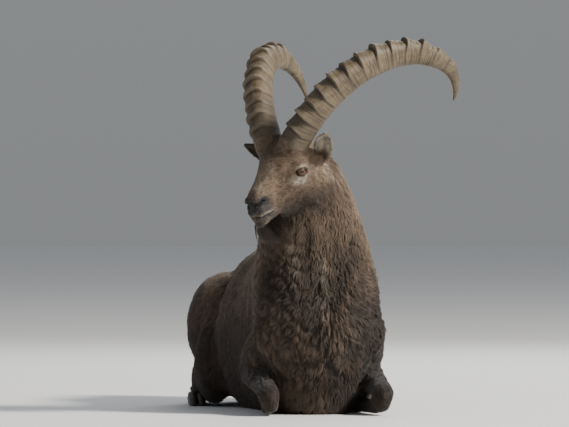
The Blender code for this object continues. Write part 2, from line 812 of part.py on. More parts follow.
def hind_foot(side, shift):
    """Hind cannon from the hock forward along the floor, with two claws."""
    cannon = limb("hind_cannon", (
        (side * 0.186, 0.722 + shift, 0.060, 0.013, 0.015),
        (side * 0.191, 0.706 + shift, 0.048, 0.022, 0.027),
        (side * 0.200, 0.672 + shift, 0.034, 0.024, 0.030),
        (side * 0.212, 0.628 + shift, 0.024, 0.019, 0.023),
        (side * 0.224, 0.560 + shift, 0.019, 0.017, 0.0195),
        (side * 0.232, 0.505 + shift, 0.021, 0.021, 0.0225),
        (side * 0.236, 0.478 + shift, 0.023, 0.022, 0.0240),
        (side * 0.239, 0.456 + shift, 0.023, 0.022, 0.0200),
    ), sides=10, steps=1)
    claws = []
    for place_name, sign in (("outer", 1), ("inner", -1)):
        root = (side * (0.2395 + sign * 0.0135), 0.466 + shift, 0.0205)
        tip = (side * (0.246 + sign * 0.0100), 0.398 + shift, 0.0175)
        claws.append((place_name, hoof("claw", root, tip, (side * sign, 0, 0), 0.0125)))
    return cannon, claws


def dewclaws(cannon, side, places):
    """Two small horny points behind the fetlock, as part of the cannon."""
    made = []
    for x, y, z in places:
        made.append(ellipsoid("dewclaw", (x, y, z), (0.0065, 0.011, 0.0075), segments=6, rings=5))
    return union_all(cannon, made, "dewclaws")


# The tail

def tail():
    """A short tail that hangs along the rump, ending in a tuft of locks."""
    draw = random.Random(11)
    core = limb("tail", (
        (0.0, 0.745, 0.400, 0.024, 0.022),
        (0.0, 0.790, 0.378, 0.025, 0.019),
        (0.003, 0.828, 0.332, 0.023, 0.016),
        (0.007, 0.850, 0.285, 0.017, 0.012),
        (0.010, 0.857, 0.262, 0.009, 0.007),
    ), sides=10, steps=2)
    locks = []
    for i in range(TAIL_LOCKS):
        a = 2 * math.pi * i / TAIL_LOCKS + draw.uniform(-0.1, 0.1)
        row = i % 2
        x, out = math.cos(a), math.sin(a)
        root = Vector((0.008 + 0.012 * x, 0.850 + 0.006 * out, 0.288 + 0.018 * row))
        tip = root + Vector((0.006 * x, 0.004 + 0.005 * out, -draw.uniform(0.045, 0.068)))
        locks.append(lock("tail_lock", root, tip, 0.0070, 0.0026, 0.003, Vector((-out, x, 0.0))))
    return union_all(core, locks, "tail_locks")


# Where the body is divided into nodes

def prism(name, outline, inner, side, outer=0.42):
    """A volume outside the plane x = inner whose side view is a smooth closed outline of (y, z)."""
    loop = np.array(outline, float)
    count = len(loop)
    curve = []
    for i in range(count):
        a, b, c, d = (loop[(i + k) % count] for k in (-1, 0, 1, 2))
        for t in (0.0, 0.5):
            curve.append(0.5 * (2 * b + (c - a) * t + (2 * a - 5 * b + 4 * c - d) * t ** 2
                                + (3 * b - a - 3 * c + d) * t ** 3))
    rings = [[Vector((side * x, y, z)) for y, z in curve] for x in (inner, outer)]
    return loft(name, rings)


SHANK_OUTLINE = ((0.315, -0.03), (0.325, 0.085), (0.42, 0.112), (0.56, 0.106), (0.68, 0.092),
                 (0.735, 0.060), (0.738, -0.03), (0.53, -0.04))
THIGH_OUTLINE = ((0.325, 0.06), (0.318, 0.18), (0.355, 0.28), (0.430, 0.360), (0.540, 0.402), (0.650, 0.388),
                 (0.725, 0.325), (0.752, 0.225), (0.742, 0.120), (0.70, 0.04), (0.52, 0.02))
SHOULDER_OUTLINE = ((-0.185, 0.195), (-0.168, 0.280), (-0.100, 0.365), (-0.025, 0.430), (0.040, 0.435),
                    (0.082, 0.360), (0.098, 0.250), (0.104, 0.150), (0.085, 0.072), (0.0, 0.075),
                    (-0.10, 0.105), (-0.165, 0.135))


def divided(body, territory):
    """Returns the part of the body inside the territory, and what's left of the body outside it."""
    inside = bpy.data.objects.new("inside", body.data.copy())
    CUTTERS.objects.link(inside)
    inside.hide_render = True
    inside.display_type = "WIRE"
    boolean(inside, territory, "INTERSECT")
    wider = grown(territory, "wider", GAP * 1.2)
    boolean(body, wider, "DIFFERENCE")
    remove(territory, wider)
    return inside, body


def neck_territory():
    """Everything above a plane that runs from the withers down to the front of the chest."""
    cube = block("neck_territory", (-0.5, -0.7, 0.0), (0.5, 0.7, 0.8))
    tilt = Matrix.Rotation(math.atan(0.50), 4, "X")
    return place(cube, Matrix.Translation(Vector((0, -0.15, 0.385))) @ tilt)


def build():
    coat = finish_of("coat", WINTER_BROWN, 0.85)
    leg_coat = finish_of("leg_coat", LEG_BROWN, 0.80)
    horn_finish = finish_of("horn", HORN_BROWN, 0.55)
    hoof_finish = finish_of("hoof", HOOF_DARK, 0.45)
    eye_finish = finish_of("eye", IRIS_AMBER, 0.08)

    body = fused("body", [trunk_barrel(), neck_column(), neck_to_head()] + muscle_masses(),
                 TRUNK_VOXEL, 6, TRUNK_TRIANGLES)
    above_floor(body)
    neck, body = divided(body, neck_territory())
    legs = {}
    for name, side in SIDES:
        shank, body = divided(body, prism("shank_territory", SHANK_OUTLINE, 0.118, side))
        thigh, body = divided(body, prism("thigh_territory", THIGH_OUTLINE, 0.100, side))
        shoulder, body = divided(body, prism("shoulder_territory", SHOULDER_OUTLINE, 0.108, side))
        legs[name] = {"shank": shank, "thigh": thigh, "shoulder": shoulder}
    torso = body

    for name, side in SIDES:
        parts = legs[name]
        shift = FORE_SHIFT[name]
        forearm, fore_cannon, fore_claws = foreleg(side, shift)
        dewclaws(fore_cannon, side, [(side * (0.120 + d), -0.072 + shift, 0.042) for d in (-0.010, 0.012)])
        shift = HIND_SHIFT[name]
        hind_cannon, hind_claws = hind_foot(side, shift)
        dewclaws(hind_cannon, side, [(side * (0.234 + d), 0.496 + shift, 0.0435) for d in (-0.012, 0.012)])
        feet = [fore_cannon, hind_cannon] + [claw for _, claw in fore_claws + hind_claws]
        for upper in (parts["shank"], parts["thigh"], parts["shoulder"], torso):
            carve(upper, *feet, by=3 * GAP)
        carve(forearm, *feet)
        carve(forearm, torso, parts["shoulder"])
        for claws, cannon in ((fore_claws, fore_cannon), (hind_claws, hind_cannon)):
            carve(claws_of(claws, "inner"), claws_of(claws, "outer"))
            for _, claw in claws:
                carve(claw, cannon, by=2 * GAP)
        for part in feet + [forearm]:
            above_floor(part)
        node(forearm, f"forearm_{name}", leg_coat)
        node(fore_cannon, f"fore_cannon_{name}", leg_coat)
        node(hind_cannon, f"hind_cannon_{name}", leg_coat)
        for place_name, claw in fore_claws:
            node(claw, f"fore_hoof_{place_name}_{name}", hoof_finish)
        for place_name, claw in hind_claws:
            node(claw, f"hind_hoof_{place_name}_{name}", hoof_finish)
        node(parts["shank"], f"shank_{name}", leg_coat)
        node(parts["thigh"], f"thigh_{name}", coat)
        node(parts["shoulder"], f"shoulder_{name}", coat)

    end = tail()
    carve(end, torso)
    node(end, "tail", leg_coat)

    head_to_world = head_matrix()
    head = open_face(head_core())
    horns, ears, eyes = {}, {}, {}
    for name, side in SIDES:
        horns[name] = horn("horn", side)
        carve(head, horns[name])
        ears[name] = ear("ear", name, side)
        eyes[name] = ellipsoid("eye", mirrored(EYE_CENTRE, side), (EYE_RADIUS,) * 3, segments=16, rings=9)
        carve(ears[name], head, horns[name])
    union_all(head, beard_locks(), "beard_locks")
    for obj in [head] + list(horns.values()) + list(ears.values()) + list(eyes.values()):
        place(obj, head_to_world)
    carve(neck, head)
    for name, side in SIDES:
        carve(neck, ears[name])
        node(horns[name], f"horn_{name}", horn_finish, 35)
        node(ears[name], f"ear_{name}", coat)
        node(eyes[name], f"eye_{name}", eye_finish)
    node(head, "head", coat)
    node(neck, "neck", coat)
    node(torso, "torso", coat)


def claws_of(claws, wanted):
    return next(claw for place_name, claw in claws if place_name == wanted)


build()
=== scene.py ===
# %% [markdown]
# # An alpine ibex at rest
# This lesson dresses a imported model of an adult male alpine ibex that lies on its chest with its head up.
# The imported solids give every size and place. Here they get a seamless skin, a coat of short tufts,
# ridged horns, wet eyes and horny hooves. The frame is in metres, +Z is up, the chest faces -Y and the
# animal's left side is at +X.

# %% Load the frame
import math

import bmesh
import bpy
import numpy as np
from mathutils import Matrix, Vector
from mathutils.bvhtree import BVHTree
from mathutils.kdtree import KDTree


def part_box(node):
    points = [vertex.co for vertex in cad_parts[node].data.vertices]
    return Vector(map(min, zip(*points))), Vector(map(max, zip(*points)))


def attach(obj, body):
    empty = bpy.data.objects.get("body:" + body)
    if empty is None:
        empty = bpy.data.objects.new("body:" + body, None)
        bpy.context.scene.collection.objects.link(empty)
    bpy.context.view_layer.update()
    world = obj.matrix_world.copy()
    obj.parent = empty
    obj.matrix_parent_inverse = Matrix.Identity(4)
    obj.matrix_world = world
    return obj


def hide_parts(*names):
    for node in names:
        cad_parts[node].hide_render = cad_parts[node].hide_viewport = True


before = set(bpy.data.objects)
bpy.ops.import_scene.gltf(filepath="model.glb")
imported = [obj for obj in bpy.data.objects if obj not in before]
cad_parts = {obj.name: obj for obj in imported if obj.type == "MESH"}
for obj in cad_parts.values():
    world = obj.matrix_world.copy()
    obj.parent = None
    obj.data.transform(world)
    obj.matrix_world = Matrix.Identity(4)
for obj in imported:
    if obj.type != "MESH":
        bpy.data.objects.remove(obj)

for name in ("Cube", "Light", "Camera"):
    if name in bpy.data.objects:
        bpy.data.objects.remove(bpy.data.objects[name], do_unlink=True)
bpy.context.view_layer.update()
SIDES = (("left", 1), ("right", -1))
FLESH = sorted(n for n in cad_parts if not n.startswith(("horn", "eye")) and "hoof" not in n)

# %% [markdown]
# ## Where the photographer stood
# The picture was taken with a long lens from well away, a little to the animal's right and about level
# with its chest. A camera could be aimed by eye. Here it is worked out from three plain facts: how far
# away it is, how many picture widths a metre takes, and which point is in the middle.

# %% Camera
PICTURE_WIDTH = 569
PIXELS_PER_METRE = 380.0
CAMERA_DISTANCE = 12.0
CAMERA_SIDE = math.radians(9.0)
MIDDLE_ACROSS = -0.0697
MIDDLE_HEIGHT = 0.522

toward_camera = Vector((-math.sin(CAMERA_SIDE), -math.cos(CAMERA_SIDE), 0.0))
picture_right = Vector((math.cos(CAMERA_SIDE), -math.sin(CAMERA_SIDE), 0.0))
camera = bpy.data.objects.new("camera", bpy.data.cameras.new("camera"))
bpy.context.scene.collection.objects.link(camera)
camera.data.sensor_width = 36.0
camera.data.lens = 36.0 * PIXELS_PER_METRE * CAMERA_DISTANCE / PICTURE_WIDTH
camera.data.clip_end = 200.0
middle_of_picture = picture_right * MIDDLE_ACROSS + Vector((0, 0, MIDDLE_HEIGHT))
camera.location = toward_camera * CAMERA_DISTANCE + middle_of_picture
camera.rotation_euler = (math.radians(90), 0, -CAMERA_SIDE)
bpy.context.scene.camera = camera
print("lens", round(camera.data.lens, 1), "mm")

# %% [markdown]
# ## Floor and light
# The floor is one large pale sheet in front of a pale backdrop that meets it in the same tone. The light in
# the picture comes from the upper right, so a large soft lamp stands there. A weaker one fills the shadow
# side, so that the dark flank keeps its shape, and one behind draws a light edge along the back.

# %% Floor and lamps
FLOOR_SIZE = 120
FLOOR_DROP = 0.0005
FLOOR_COLOUR = (0.80, 0.80, 0.79)
BACKDROP_LOW = (0.645, 0.670, 0.690)
BACKDROP_HIGH = (0.80, 0.84, 0.90)
BACKDROP_HIGH_FROM = 0.30
BACKDROP_STRENGTH = 0.38
LAMPS = (
    # (name, place, aim, size, power, colour)
    ("key_lamp", (9.4, -7.4, 8.6), (0, 0.0, 0.45), 2.6, 4300, (1.0, 0.95, 0.87)),
    ("fill_lamp", (-3.5, -4.0, 1.8), (0, 0.1, 0.4), 3.0, 9, (0.85, 0.92, 1.0)),
    ("back_lamp", (1.5, 4.5, 3.5), (0, 0.3, 0.4), 2.5, 120, (0.95, 0.97, 1.0)),
)


def link(obj):
    bpy.context.scene.collection.objects.link(obj)
    return obj


def floor_material():
    made = bpy.data.materials.new("pale_floor")
    made.use_nodes = True
    shader = made.node_tree.nodes["Principled BSDF"]
    shader.inputs["Base Color"].default_value = (*FLOOR_COLOUR, 1.0)
    shader.inputs["Roughness"].default_value = 0.8
    return made


def lamp(name, place, aim, size, power, colour):
    """A square soft lamp at place, turned to aim."""
    data = bpy.data.lights.new(name, "AREA")
    data.shape = "SQUARE"
    data.size = size
    data.energy = power
    data.color = colour
    obj = link(bpy.data.objects.new(name, data))
    obj.location = place
    obj.rotation_euler = (Vector(aim) - Vector(place)).to_track_quat("-Z", "Y").to_euler()


def pale_backdrop():
    """A backdrop all round that is a little darker low down than high up."""
    world = bpy.data.worlds.new("pale_backdrop")
    world.use_nodes = True
    tree = world.node_tree
    way = tree.nodes.new("ShaderNodeTexCoord")
    height = tree.nodes.new("ShaderNodeSeparateXYZ")
    ramp = tree.nodes.new("ShaderNodeValToRGB")
    low, high = ramp.color_ramp.elements
    low.position, high.position = 0.0, BACKDROP_HIGH_FROM
    low.color, high.color = (*BACKDROP_LOW, 1.0), (*BACKDROP_HIGH, 1.0)
    tree.links.new(way.outputs["Generated"], height.inputs[0])
    tree.links.new(height.outputs["Z"], ramp.inputs[0])
    tree.links.new(ramp.outputs[0], tree.nodes["Background"].inputs["Color"])
    tree.nodes["Background"].inputs["Strength"].default_value = BACKDROP_STRENGTH
    return world


bpy.ops.mesh.primitive_plane_add(size=FLOOR_SIZE, location=(0, 0, -FLOOR_DROP))
floor = bpy.context.object
floor.name = "floor"
floor.data.materials.append(floor_material())
for row in LAMPS:
    lamp(*row)
bpy.context.scene.world = pale_backdrop()
print("floor,", len(LAMPS), "lamps and backdrop")

# %% [markdown]
# ## Helpers for soft shapes
# Flesh is easiest to model as plain solids that run into each other, such as lofts and ellipsoids, which
# a voxel remesh then melts into one skin. These helpers make the solids, join them and read meshes as
# arrays of numbers, because the coat needs many thousands of points at once.

# %% Solids
def mesh_object(name, points, faces):
    data = bpy.data.meshes.new(name)
    data.from_pydata([tuple(p) for p in points], [], [tuple(f) for f in faces])
    return link(bpy.data.objects.new(name, data))


def object_of(name, shape):
    """A new object that takes the shape, which is then freed."""
    data = bpy.data.meshes.new(name)
    shape.to_mesh(data)
    shape.free()
    return link(bpy.data.objects.new(name, data))


def smooth_rows(rows, steps):
    """Rows of sizes read more finely, along a Catmull-Rom curve through them."""
    rows = np.array(rows, float)
    ends = np.vstack([2 * rows[0] - rows[1], rows, 2 * rows[-1] - rows[-2]])
    made = []
    for i in range(len(rows) - 1):
        a, b, c, d = ends[i:i + 4]
        for t in np.linspace(0, 1, steps, endpoint=False):
            made.append(0.5 * (2 * b + (c - a) * t + (2 * a - 5 * b + 4 * c - d) * t ** 2
                               + (3 * b - a - 3 * c + d) * t ** 3))
    return np.array(made + [rows[-1]])


def round_power(value, power):
    """A corner that is round at power 2 and squarer above it."""
    return math.copysign(abs(value) ** (2 / power), value)


def loft(name, rings):
    """A closed body through rings of equally many points, with a fan over each end."""
    sides = len(rings[0])
    points = [p for ring in rings for p in ring]
    faces = []
    for i in range(len(rings) - 1):
        for j in range(sides):
            k = (j + 1) % sides
            faces.append((i * sides + j, i * sides + k, (i + 1) * sides + k, (i + 1) * sides + j))
    for start in (0, (len(rings) - 1) * sides):
        ring = points[start:start + sides]
        points.append(sum((Vector(p) for p in ring), Vector()) / sides)
        for j in range(sides):
            faces.append((start + j, start + (j + 1) % sides, len(points) - 1))
    obj = mesh_object(name, points, faces)
    shape = bmesh.new()
    shape.from_mesh(obj.data)
    bmesh.ops.recalc_face_normals(shape, faces=shape.faces)
    if shape.calc_volume(signed=True) < 0:
        bmesh.ops.reverse_faces(shape, faces=shape.faces)
    shape.to_mesh(obj.data)
    shape.free()
    return obj


def limb(name, joints, sides=24, steps=5, lateral=Vector((1, 0, 0))):
    """A tapered limb through joints (x, y, z, half width, half depth)."""
    rows = smooth_rows(joints, steps)
    places = [Vector(row[:3]) for row in rows]
    rings = []
    for i, row in enumerate(rows):
        along = (places[min(i + 1, len(rows) - 1)] - places[max(i - 1, 0)]).normalized()
        across = (lateral - along * lateral.dot(along)).normalized()
        deep = along.cross(across)
        rings.append([places[i] + across * (row[3] * math.cos(a)) + deep * (row[4] * math.sin(a))
                      for a in (2 * math.pi * j / sides for j in range(sides))])
    return loft(name, rings)


def ellipsoid(name, centre, radii, turn=None, segments=32, rings=20):
    shape = bmesh.new()
    bmesh.ops.create_uvsphere(shape, u_segments=segments, v_segments=rings, radius=1.0)
    turn = (turn or Matrix.Identity(3)).to_4x4()
    shape.transform(Matrix.Translation(Vector(centre)) @ turn @ Matrix.Diagonal((*radii, 1)))
    return object_of(name, shape)


print("loft, limb and ellipsoid ready")

# %% Joining and melting
def apply_modifiers(obj):
    graph = bpy.context.evaluated_depsgraph_get()
    made = bpy.data.meshes.new_from_object(obj.evaluated_get(graph))
    obj.modifiers.clear()
    obj.data = made
    return obj


def remove(*objects):
    for obj in objects:
        bpy.data.objects.remove(obj, do_unlink=True)


def joined(name, pieces):
    """The pieces as one mesh, still crossing each other."""
    shape = bmesh.new()
    for piece in pieces:
        shape.from_mesh(piece.data)
    remove(*pieces)
    return object_of(name, shape)


def remeshed(obj, voxel, rounds):
    """The shape as one skin of even faces, smoothed a few times."""
    remesh = obj.modifiers.new("remesh", "REMESH")
    remesh.mode = "VOXEL"
    remesh.voxel_size = voxel
    smooth = obj.modifiers.new("smooth", "SMOOTH")
    smooth.factor = 0.5
    smooth.iterations = rounds
    return apply_modifiers(obj)


def boolean(obj, other, operation):
    step = obj.modifiers.new(operation.lower(), "BOOLEAN")
    step.operation = operation
    step.solver = "MANIFOLD"
    step.object = other
    apply_modifiers(obj)
    remove(other)
    return obj


print("joining and melting ready")

# %% Meshes as arrays
def read(rows, key, width, kind=np.float32):
    """One property of all the rows of a mesh, such as its points or edges."""
    flat = np.empty(len(rows) * width, kind)
    rows.foreach_get(key, flat)
    return flat.reshape(-1, width)


def points_of(mesh):
    return read(mesh.vertices, "co", 3).astype(float)


def normals_of(mesh):
    return read(mesh.vertex_normals, "vector", 3).astype(float)


def edges_of(mesh):
    return read(mesh.edges, "vertices", 2, np.int32)


def triangles_of(mesh):
    mesh.calc_loop_triangles()
    return read(mesh.loop_triangles, "vertices", 3, np.int32)


def set_points(mesh, places):
    mesh.vertices.foreach_set("co", places.astype(np.float32).ravel())
    mesh.update()


def unit_rows(rows):
    return rows / np.maximum(np.linalg.norm(rows, axis=1, keepdims=True), 1e-9)


def row_dots(first, second):
    """The dot product of each row of first with the same row of second, as a column."""
    return np.einsum("ij,ij->i", first, second)[:, None]


def areas_of(corners):
    first, second = corners[:, 1] - corners[:, 0], corners[:, 2] - corners[:, 0]
    return np.linalg.norm(np.cross(first, second), axis=1) / 2


def corner_shares(draw, count):
    """For random places in triangles, how much each of the three corners counts."""
    a, b = draw.random((2, count))
    flip = a + b > 1
    a, b = np.where(flip, 1 - a, a), np.where(flip, 1 - b, b)
    return np.column_stack((1 - a - b, a, b))


def tree_of(places):
    tree = KDTree(len(places))
    for i, place in enumerate(places):
        tree.insert(place, i)
    tree.balance()
    return tree


def nearest(tree, points):
    """The number of the tree's place that is nearest to each point."""
    return np.array([tree.find(p)[1] for p in points])


def blurred(values, edges, rounds):
    """Numbers on the points of a mesh, averaged with their neighbours a few times."""
    values = np.array(values, float)
    count = len(values)
    flat = values.reshape(count, -1)
    share = np.bincount(edges.ravel(), minlength=count) + 1.0
    for _ in range(rounds):
        total = flat.copy()
        for k in range(flat.shape[1]):
            total[:, k] += np.bincount(edges[:, 0], flat[edges[:, 1], k], count)
            total[:, k] += np.bincount(edges[:, 1], flat[edges[:, 0], k], count)
        flat = total / share[:, None]
    return flat.reshape(values.shape)


def blend_step(low, high, values):
    """0 at low, 1 at high, and a soft step between. Low may be the larger of the two."""
    t = np.clip((values - low) / (high - low), 0, 1)
    return t * t * (3 - 2 * t)


def spread_over(mesh, name, values):
    """Stores a row of numbers on a mesh as a named attribute."""
    if values.ndim == 2:
        rows = np.column_stack((values, np.ones(len(values)))).astype(np.float32)
        mesh.attributes.new(name, "FLOAT_COLOR", "POINT").data.foreach_set("color", rows.ravel())
    else:
        mesh.attributes.new(name, "FLOAT", "POINT").data.foreach_set("value", values.astype(np.float32))


print("array helpers ready")

# %% [markdown]
# ## The head
# A male ibex has a short deep head: a broad forehead under the horns, eyes that stand out at the sides,
# a straight nose and a blunt muzzle. It is made in a frame of its own, with the muzzle along -Y, and then
# turned into place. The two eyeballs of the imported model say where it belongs.

# %% Head sizes
HEAD_TURN = math.radians(53)
NOSE_DROP = math.radians(22.1)
EYE_CENTRE = Vector((0.0575, -0.004, -0.005))
EYE_RADIUS = 0.0185
EYE_LOOK = Vector((0.85, -0.52, 0.04)).normalized()
EYE_OPENING = (0.0180, 0.0094)
EYE_SLANT = math.radians(-8)
HEAD_VOXEL = 0.0022
HEAD_SIDES = 64
HEAD_SECTIONS = (
    # (forward, top, middle, bottom, half width, squareness above, squareness below)
    (-0.114, 0.022, -0.012, -0.050, 0.028, 2.0, 2.0),
    (-0.098, 0.046, -0.008, -0.084, 0.050, 2.2, 2.0),
    (-0.062, 0.068, -0.006, -0.114, 0.061, 2.3, 1.9),
    (-0.022, 0.079, -0.002, -0.125, 0.065, 2.4, 1.8),
    (0.014, 0.073, -0.004, -0.124, 0.063, 2.5, 1.7),
    (0.040, 0.056, -0.012, -0.119, 0.050, 2.5, 1.7),
    (0.066, 0.036, -0.023, -0.113, 0.039, 2.5, 1.8),
    (0.090, 0.017, -0.033, -0.110, 0.032, 2.5, 2.0),
    (0.112, 0.001, -0.042, -0.108, 0.0285, 2.5, 2.2),
    (0.130, -0.010, -0.049, -0.104, 0.0270, 2.5, 2.4),
    (0.143, -0.022, -0.055, -0.094, 0.0230, 2.3, 2.3),
    (0.151, -0.036, -0.060, -0.082, 0.0130, 2.0, 2.0),
)

eye_places = [sum(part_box(f"eye_{name}"), Vector()) / 2 for name, _ in SIDES]
head_turn = Matrix.Rotation(-HEAD_TURN, 4, "Z") @ Matrix.Rotation(NOSE_DROP, 4, "X")
between_eyes = head_turn @ Vector((0, EYE_CENTRE.y, EYE_CENTRE.z))
head_place = Matrix.Translation((eye_places[0] + eye_places[1]) / 2 - between_eyes) @ head_turn
print("head at", [round(c, 3) for c in head_place.translation])

# %% Horn line
HORN_LENGTH = 0.611
HORN_BASE = Vector((0.0500, 0.0219, 0.0713))
HORN_LEAN_BACK = 0.554
HORN_LEAN_OUT = 0.548
HORN_PLANE_TURN = -0.3315
HORN_TWIST = -0.887
HORN_BEND_START = 2.22
HORN_BEND_GAIN = 6.242
HORN_BEND_POWER = 1.961
HORN_HOOK = 5.5


def mirrored(point, side):
    return Vector((point[0] * side, point[1], point[2]))


def horn_start(side):
    """Where a horn leaves the skull, and the way it sets out."""
    back, out = HORN_LEAN_BACK, HORN_LEAN_OUT
    along = Vector((math.sin(out), math.sin(back) * math.cos(out), math.cos(back) * math.cos(out)))
    return mirrored(HORN_BASE, side), mirrored(along, side)


print("each horn is", HORN_LENGTH, "m along its middle")

# %% Head shape
def head_pieces():
    rings = []
    for ahead, top, middle, bottom, half, above, below in smooth_rows(HEAD_SECTIONS, 5):
        ring = []
        for j in range(HEAD_SIDES):
            a = 2 * math.pi * j / HEAD_SIDES
            c, s = math.cos(a), math.sin(a)
            power = above if s > 0 else below
            reach = (top - middle) if s > 0 else (middle - bottom)
            height = middle + reach * round_power(s, power)
            ring.append(Vector((half * round_power(c, power), -ahead, height)))
        rings.append(ring)
    pieces = [loft("skull", rings)]
    pieces.append(ellipsoid("chin", (0, -0.126, -0.097), (0.019, 0.022, 0.014)))
    pieces.append(ellipsoid("nose_pad", (0, -0.138, -0.042), (0.018, 0.014, 0.019)))
    for _, side in SIDES:
        start, along = horn_start(side)
        pieces += [
            ellipsoid("cheek", (side * 0.040, 0.034, -0.066), (0.024, 0.052, 0.048)),
            ellipsoid("cheekbone", (side * 0.052, -0.006, -0.006), (0.022, 0.040, 0.026)),
            ellipsoid("brow", (side * 0.055, 0.000, 0.021), (0.019, 0.030, 0.013)),
            ellipsoid("frontal", (side * 0.041, 0.008, 0.058), (0.036, 0.037, 0.027)),
            ellipsoid("under_eye", (side * 0.045, -0.012, -0.020), (0.020, 0.036, 0.026)),
            ellipsoid("lid_mass", mirrored(EYE_CENTRE, side), (EYE_RADIUS + 0.0038,) * 3),
            ellipsoid("upper_lip", (side * 0.013, -0.129, -0.064), (0.014, 0.023, 0.014)),
            ellipsoid("nostril_wing", (side * 0.0145, -0.136, -0.034), (0.0115, 0.015, 0.012)),
            ellipsoid("lip_corner", (side * 0.025, -0.104, -0.076), (0.0080, 0.021, 0.0085)),
            ellipsoid("ear_base", (side * 0.057, 0.080, -0.002), (0.015, 0.019, 0.019)),
            limb("horn_collar", (
                (*(start - along * 0.045), 0.026, 0.032),
                (*(start - along * 0.022), 0.035, 0.042),
                (*(start - along * 0.010), 0.037, 0.044),
                (*(start - along * 0.003), 0.032, 0.040),
            )),
        ]
    return pieces


head = remeshed(joined("head_form", head_pieces()), HEAD_VOXEL, 9)
print("head form", len(head.data.polygons), "faces")

# %% [markdown]
# ## One skin
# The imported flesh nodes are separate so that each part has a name, but on the animal one skin runs over
# them all. Copies of them are swollen by a hair's breadth so that they touch, and melted together. The
# finer head is then joined on, and the seam between the two is smoothed away.

# %% Body and head in one
BODY_VOXEL = 0.0064
TOUCH = 0.0012


def swollen_copy(node):
    """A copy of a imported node, larger by TOUCH all round."""
    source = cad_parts[node].data
    shape = bmesh.new()
    shape.from_mesh(source)
    bmesh.ops.remove_doubles(shape, verts=shape.verts, dist=1e-6)
    shape.normal_update()
    for vertex in shape.verts:
        vertex.co += vertex.normal * TOUCH
    return object_of("copy", shape)


nape_back = head_place @ Vector((0, 0.060, -0.045))
body_pieces = [swollen_copy(n) for n in FLESH if n not in ("head", "ear_left", "ear_right")]
body_pieces.append(limb("nape", (
    (-0.016, -0.110, 0.470, 0.105, 0.100),
    (-0.026, -0.135, 0.560, 0.082, 0.084),
    (nape_back.x + 0.012, nape_back.y + 0.003, nape_back.z - 0.03, 0.060, 0.066),
    (nape_back.x, nape_back.y, nape_back.z, 0.045, 0.048),
)))
skin = remeshed(joined("skin", body_pieces), BODY_VOXEL, 10)
head.data.transform(head_place)
boolean(skin, head, "UNION")
print("skin", len(skin.data.polygons), "faces")

# %% [markdown]
# ## Which part of the animal is this point on?
# Hair is long on the neck and short on the nose, and it lies in another direction on every limb. Each
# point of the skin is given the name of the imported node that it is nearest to, and the numbers that
# belong to that part are then spread over the skin and blurred, so that nothing changes suddenly.

# %% Parts of the body
COAT = {
    # part: (how deep the skin lies under the tips, hair length, spacing, tuft width, lift at the root)
    "torso": (0.0085, 0.030, 0.00320, 0.0024, 33),
    "neck": (0.0085, 0.030, 0.00255, 0.0020, 33),
    "shoulder": (0.0080, 0.028, 0.00300, 0.0023, 32),
    "thigh": (0.0080, 0.028, 0.00305, 0.0023, 32),
    "shank": (0.0040, 0.017, 0.00260, 0.0021, 26),
    "forearm": (0.0038, 0.016, 0.00240, 0.0020, 26),
    "cannon": (0.0020, 0.010, 0.00210, 0.0016, 22),
    "tail": (0.0035, 0.026, 0.00240, 0.0022, 24),
    "head": (0.0030, 0.0125, 0.00155, 0.0014, 27),
    "ear": (0.0004, 0.0080, 0.00170, 0.0013, 24),
}
LIE = {
    "torso": (0, 0.75, -0.66), "neck": (0, 0.35, -0.94), "shoulder": (0, 0.40, -0.92),
    "thigh": (0, 0.45, -0.89), "shank": (0, 0.95, -0.30), "forearm": (0, -0.95, -0.30),
    "fore_cannon": (0, 1, 0), "hind_cannon": (0, -1, 0), "tail": (0, 0.35, -0.94),
}


def part_of(node):
    """The row of COAT that a node takes, by the words in its name."""
    return next(part for part in COAT if part in node)


def node_samples(spacing=0.012, fewest=60):
    """Points spread over each flesh node, with the node's number in FLESH."""
    draw = np.random.default_rng(5)
    places, labels = [], []
    for number, node in enumerate(FLESH):
        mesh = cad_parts[node].data
        corners = points_of(mesh)[triangles_of(mesh)]
        area = areas_of(corners)
        count = max(fewest, int(area.sum() / spacing ** 2))
        pick = draw.choice(len(area), count, p=area / area.sum())
        places.append((corners[pick] * corner_shares(draw, count)[:, :, None]).sum(axis=1))
        labels.append(np.full(count, number))
    return np.vstack(places), np.concatenate(labels)


PARTS = [part_of(node) for node in FLESH]
sample_places, sample_labels = node_samples()
sample_tree = tree_of(sample_places)
print(len(sample_places), "samples on the flesh nodes")

# %% [markdown]
# The seam between the finer head and the body is smoothed, and then the whole skin is drawn in by the
# depth of the coat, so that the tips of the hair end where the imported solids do. Several of the next steps
# ask how far a point is from a place on the head, so they work in the head's own frame.

# %% Places on the head
# Each pair fades a zone in: 0 at the first number and 1 at the second, in metres.
MUZZLE_AHEAD = (0.045, 0.125)
PAD_AHEAD = (0.134, 0.142)
PAD_FROM = (-0.066, -0.060)
PAD_TO = (-0.033, -0.039)
PAD_ACROSS = (0.014, 0.009)
EYE_RING = (0.021, 0.034)


def head_frame(points):
    """Points in the head's own frame: across, back and up."""
    back = np.array(head_place.inverted())
    return points @ back[:3, :3].T + back[:3, 3]


def head_detail(points):
    """How far a point is on the short-haired muzzle, the bare nose or the skin round an eye, each 0 to 1."""
    local = head_frame(points)
    ahead, across, up = -local[:, 1], np.abs(local[:, 0]), local[:, 2]
    near = (across < 0.12) & (ahead > -0.14) & (ahead < 0.18) & (up > -0.16)
    muzzle = blend_step(*MUZZLE_AHEAD, ahead) * near
    pad = blend_step(*PAD_AHEAD, ahead) * blend_step(*PAD_FROM, up) * blend_step(*PAD_TO, up)
    pad = pad * blend_step(*PAD_ACROSS, across) * near
    folded = np.column_stack((across, local[:, 1], up))
    from_eye = np.linalg.norm(folded - np.array(EYE_CENTRE), axis=1)
    return muzzle, pad, (1 - blend_step(*EYE_RING, from_eye)) * near


